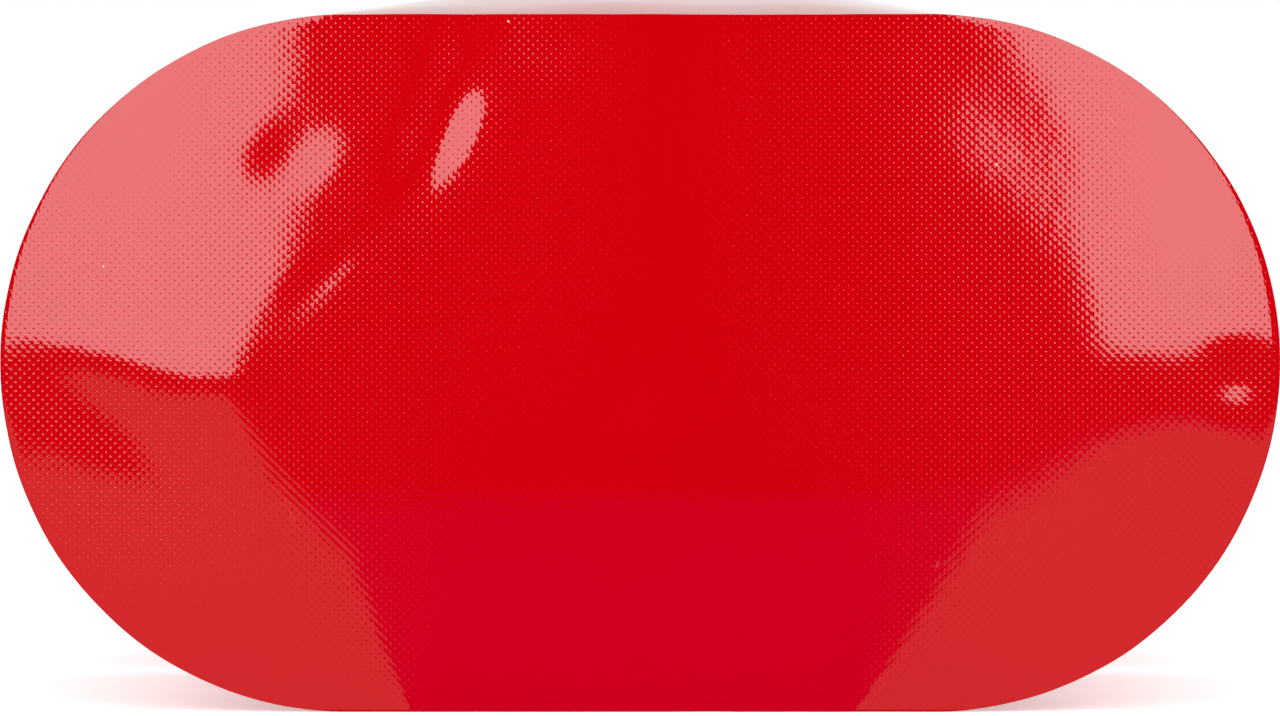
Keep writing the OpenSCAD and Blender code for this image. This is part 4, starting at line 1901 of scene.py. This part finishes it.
@dataclass
class Softbox:
    """A rectangular softbox seen from the base panel.

    Attributes:
        name: The light's name.
        near: Angle of its inner edge from the panel's axis, in degrees; above 0 is to the right.
        far: Angle of its outer edge, in degrees.
        radiance: Its brightness, where 1 is the white backdrop.
        distance: Distance from the panel, in metres.
        low: Height of its lower edge, in metres.
        high: Height of its upper edge, in metres.
    """

    name: str
    near: float
    far: float
    radiance: float
    distance: float = 2.0
    low: float = 0.07
    high: float = 1.5

    def build(self, form: BagForm) -> None:
        """Adds the light, square to the bag."""
        angle = math.radians((self.near + self.far) / 2)
        data = bpy.data.lights.new(self.name, "AREA")
        data.shape = "RECTANGLE"
        data.size = 2 * self.distance * math.tan(math.radians(abs(self.far - self.near) / 2))
        data.size_y = self.high - self.low
        data.energy = self.radiance * math.pi * data.size * data.size_y
        light = bpy.data.objects.new(self.name, data)
        away = self.distance * math.cos(angle)
        light.location = (self.distance * math.sin(angle), form.base_y - away, (self.low + self.high) / 2)
        light.rotation_euler = (math.pi / 2, 0, angle)
        light.visible_camera = False
        bpy.context.scene.collection.objects.link(light)


@dataclass
class FloorCard:
    """A card just above the floor in front of the base, seen only as a shape in the base's gloss.

    Attributes:
        name: The card's name.
        start: Distance from the base to its near side, in metres.
        end: Distance from the base to its far side.
        near_run: Where its near side starts and ends across the bag.
        far_run: Where its far side starts and ends across the bag.
        tint: Its colour.
        strength: Its brightness.
        layer: Its place in the stack of cards, counted up from the floor.
    """

    name: str
    start: float
    end: float
    near_run: tuple[float, float]
    far_run: tuple[float, float]
    tint: str = "#ffffff"
    strength: float = 0.52
    layer: int = 3


@dataclass
class Studio:
    """The pale floor, the lights and the camera.

    Attributes:
        form: The bag's form.
        distance: Distance from the camera to the base panel, in metres.
        view_w: Width of the view at the base panel, in metres.
        aim_lift: Height of the camera over the bag's axis.
        sensor: Width of the camera's sensor, in millimetres.
        lights: The softboxes.
        flag_at: Y of the black flag in front of the bag.
        flag_half_w: Half width of the black flag.
        flag_h: Height of the black flag.
        card_lift: Height of each floor card above the one below it.
    """

    form: BagForm
    distance: float = 1.1
    view_w: float = 254.0 * MM
    aim_lift: float = 1.0 * MM
    sensor: float = 36.0
    lights: Sequence[Softbox] = (
        Softbox("left_softbox", -9.6, -36.0, 4.1),
        Softbox("right_softbox", 9.6, 36.0, 4.2),
    )
    flag_at: float = -2.3
    flag_half_w: float = 4.0
    flag_h: float = 3.0
    card_lift: float = 0.15 * MM

    def floor_cards(self) -> list[FloorCard]:
        """Returns the floor cards: a black one, a cool one near the bag, and white ones at both sides."""
        wide = (-3.0, 3.0)
        reach = self.form.base_y - self.flag_at
        return [
            FloorCard("floor_flag", 0.0, reach, wide, wide, "#000000", 0.0, 1),
            FloorCard("cool_floor_card", 0.0, 0.57, wide, wide, "#00007c", 1.0, 2),
            FloorCard("left_near_floor_card", 0.0, 0.316, (-0.045, -1.2), (-0.0855, -1.2)),
            FloorCard("left_far_floor_card", 0.316, 1.0, (-0.0855, -1.2), (-0.238, -1.2)),
            FloorCard("right_floor_card", 0.0, 0.48, (0.042, 1.2), (0.128, 1.2)),
        ]

    def build_camera(self) -> None:
        """Adds the long-lens camera, level with the bag's axis and square to its base."""
        data = bpy.data.cameras.new("camera")
        data.sensor_width = self.sensor
        data.lens = data.sensor_width * self.distance / self.view_w
        data.clip_start = 0.01
        data.clip_end = 100.0
        camera = bpy.data.objects.new("camera", data)
        camera.location = (0.0, self.form.base_y - self.distance, self.form.centre_z + self.aim_lift)
        camera.rotation_euler = (math.pi / 2, 0, 0)
        bpy.context.scene.collection.objects.link(camera)
        bpy.context.scene.camera = camera

    def build_surroundings(self) -> None:
        """Adds the white surroundings, the floor and the lights."""
        scene = bpy.context.scene
        scene.view_settings.view_transform = "Standard"
        world = bpy.data.worlds.new("white_room")
        world.use_nodes = True
        feed(world.node_tree, world.node_tree.nodes["Background"], {"Color": "#ffffff", "Strength": 1.0})
        scene.world = world
        deselect()
        bpy.ops.mesh.primitive_plane_add(size=60.0, location=(0, 0, 0))
        floor = named("floor")
        dress(floor, WHITE_BOARD)
        for light in self.lights:
            light.build(self.form)

    def build_flags(self) -> None:
        """Adds the cards that the gloss of the base mirrors in place of the white room."""
        sides = (-self.flag_half_w, self.flag_half_w)
        front = [(x, self.flag_at, z) for z in (0.0, self.flag_h) for x in sides]
        self.card("front_flag", "#000000", front, 0.0)
        for card in self.floor_cards():
            runs = ((card.start, card.near_run), (card.end, card.far_run))
            lift = card.layer * self.card_lift
            corners = [(x, self.form.base_y - reach, lift) for reach, run in runs for x in run]
            self.card(card.name, card.tint, corners, card.strength)

    def card(self, name: str, tint: str, corners: Sequence[tuple], strength: float) -> None:
        """Adds a flat card that only mirrors see.

        Args:
            name: The card's name.
            tint: Its colour.
            corners: Its four corners, in two rows.
            strength: Its brightness.
        """
        deselect()
        bpy.ops.mesh.primitive_plane_add(size=1.0)
        card = named(name)
        for vertex, corner in zip(card.data.vertices, corners):
            vertex.co = corner
        made = bpy.data.materials.new(name)
        made.use_nodes = True
        light = {"Emission Color": tint, "Emission Strength": strength}
        black = {"Base Color": "#000000", "Specular IOR Level": 0.0}
        feed(made.node_tree, made.node_tree.nodes["Principled BSDF"], black | light)
        card.data.materials.append(made)
        card.visible_camera = False
        card.visible_diffuse = False
        card.visible_shadow = False
        card.visible_transmission = False


# ------------------------------------------------------------------------- main


def main() -> None:
    """Builds the studio, then the bag from its base to its mouth."""
    form = BagForm.from_frame()
    studio = Studio(form)
    studio.build_camera()
    studio.build_surroundings()
    studio.build_flags()

    BasePanel(form).build()
    Wall(form).build()
    Ribbon(form, "reflective_band_film", "reflective_band", FIT, 0.4 * MM, FILM, "reflective").build()
    FrontSheet(form, "blank_card", "label_card", FIT, 0.4 * MM, CARD, "card").build()
    FrontSheet(form, "card_window", "label_window", 0.5 * MM, 0.5 * MM, VINYL, "window").build()
    MouthBinding(form).build()
    SeamTape(form).build()
    FoamBlock(form, "base_pad_foam", "base_pad").build()
    tubes = sorted(name for name in frame["nodes"] if name.endswith("_tube"))
    FoamBlock(form, "foam_rack_block", "foam_rack", tubes).build()

    handles = [SideHandle(form, side) for side in Side]
    tabs = [RingTab(form, side) for side in Side]
    for strap in (*handles, *tabs):
        strap.build()
    Sewing(form).build(handles, tabs)
    RigidPieces().build(tubes)


if __name__ == "__main__":
    main()
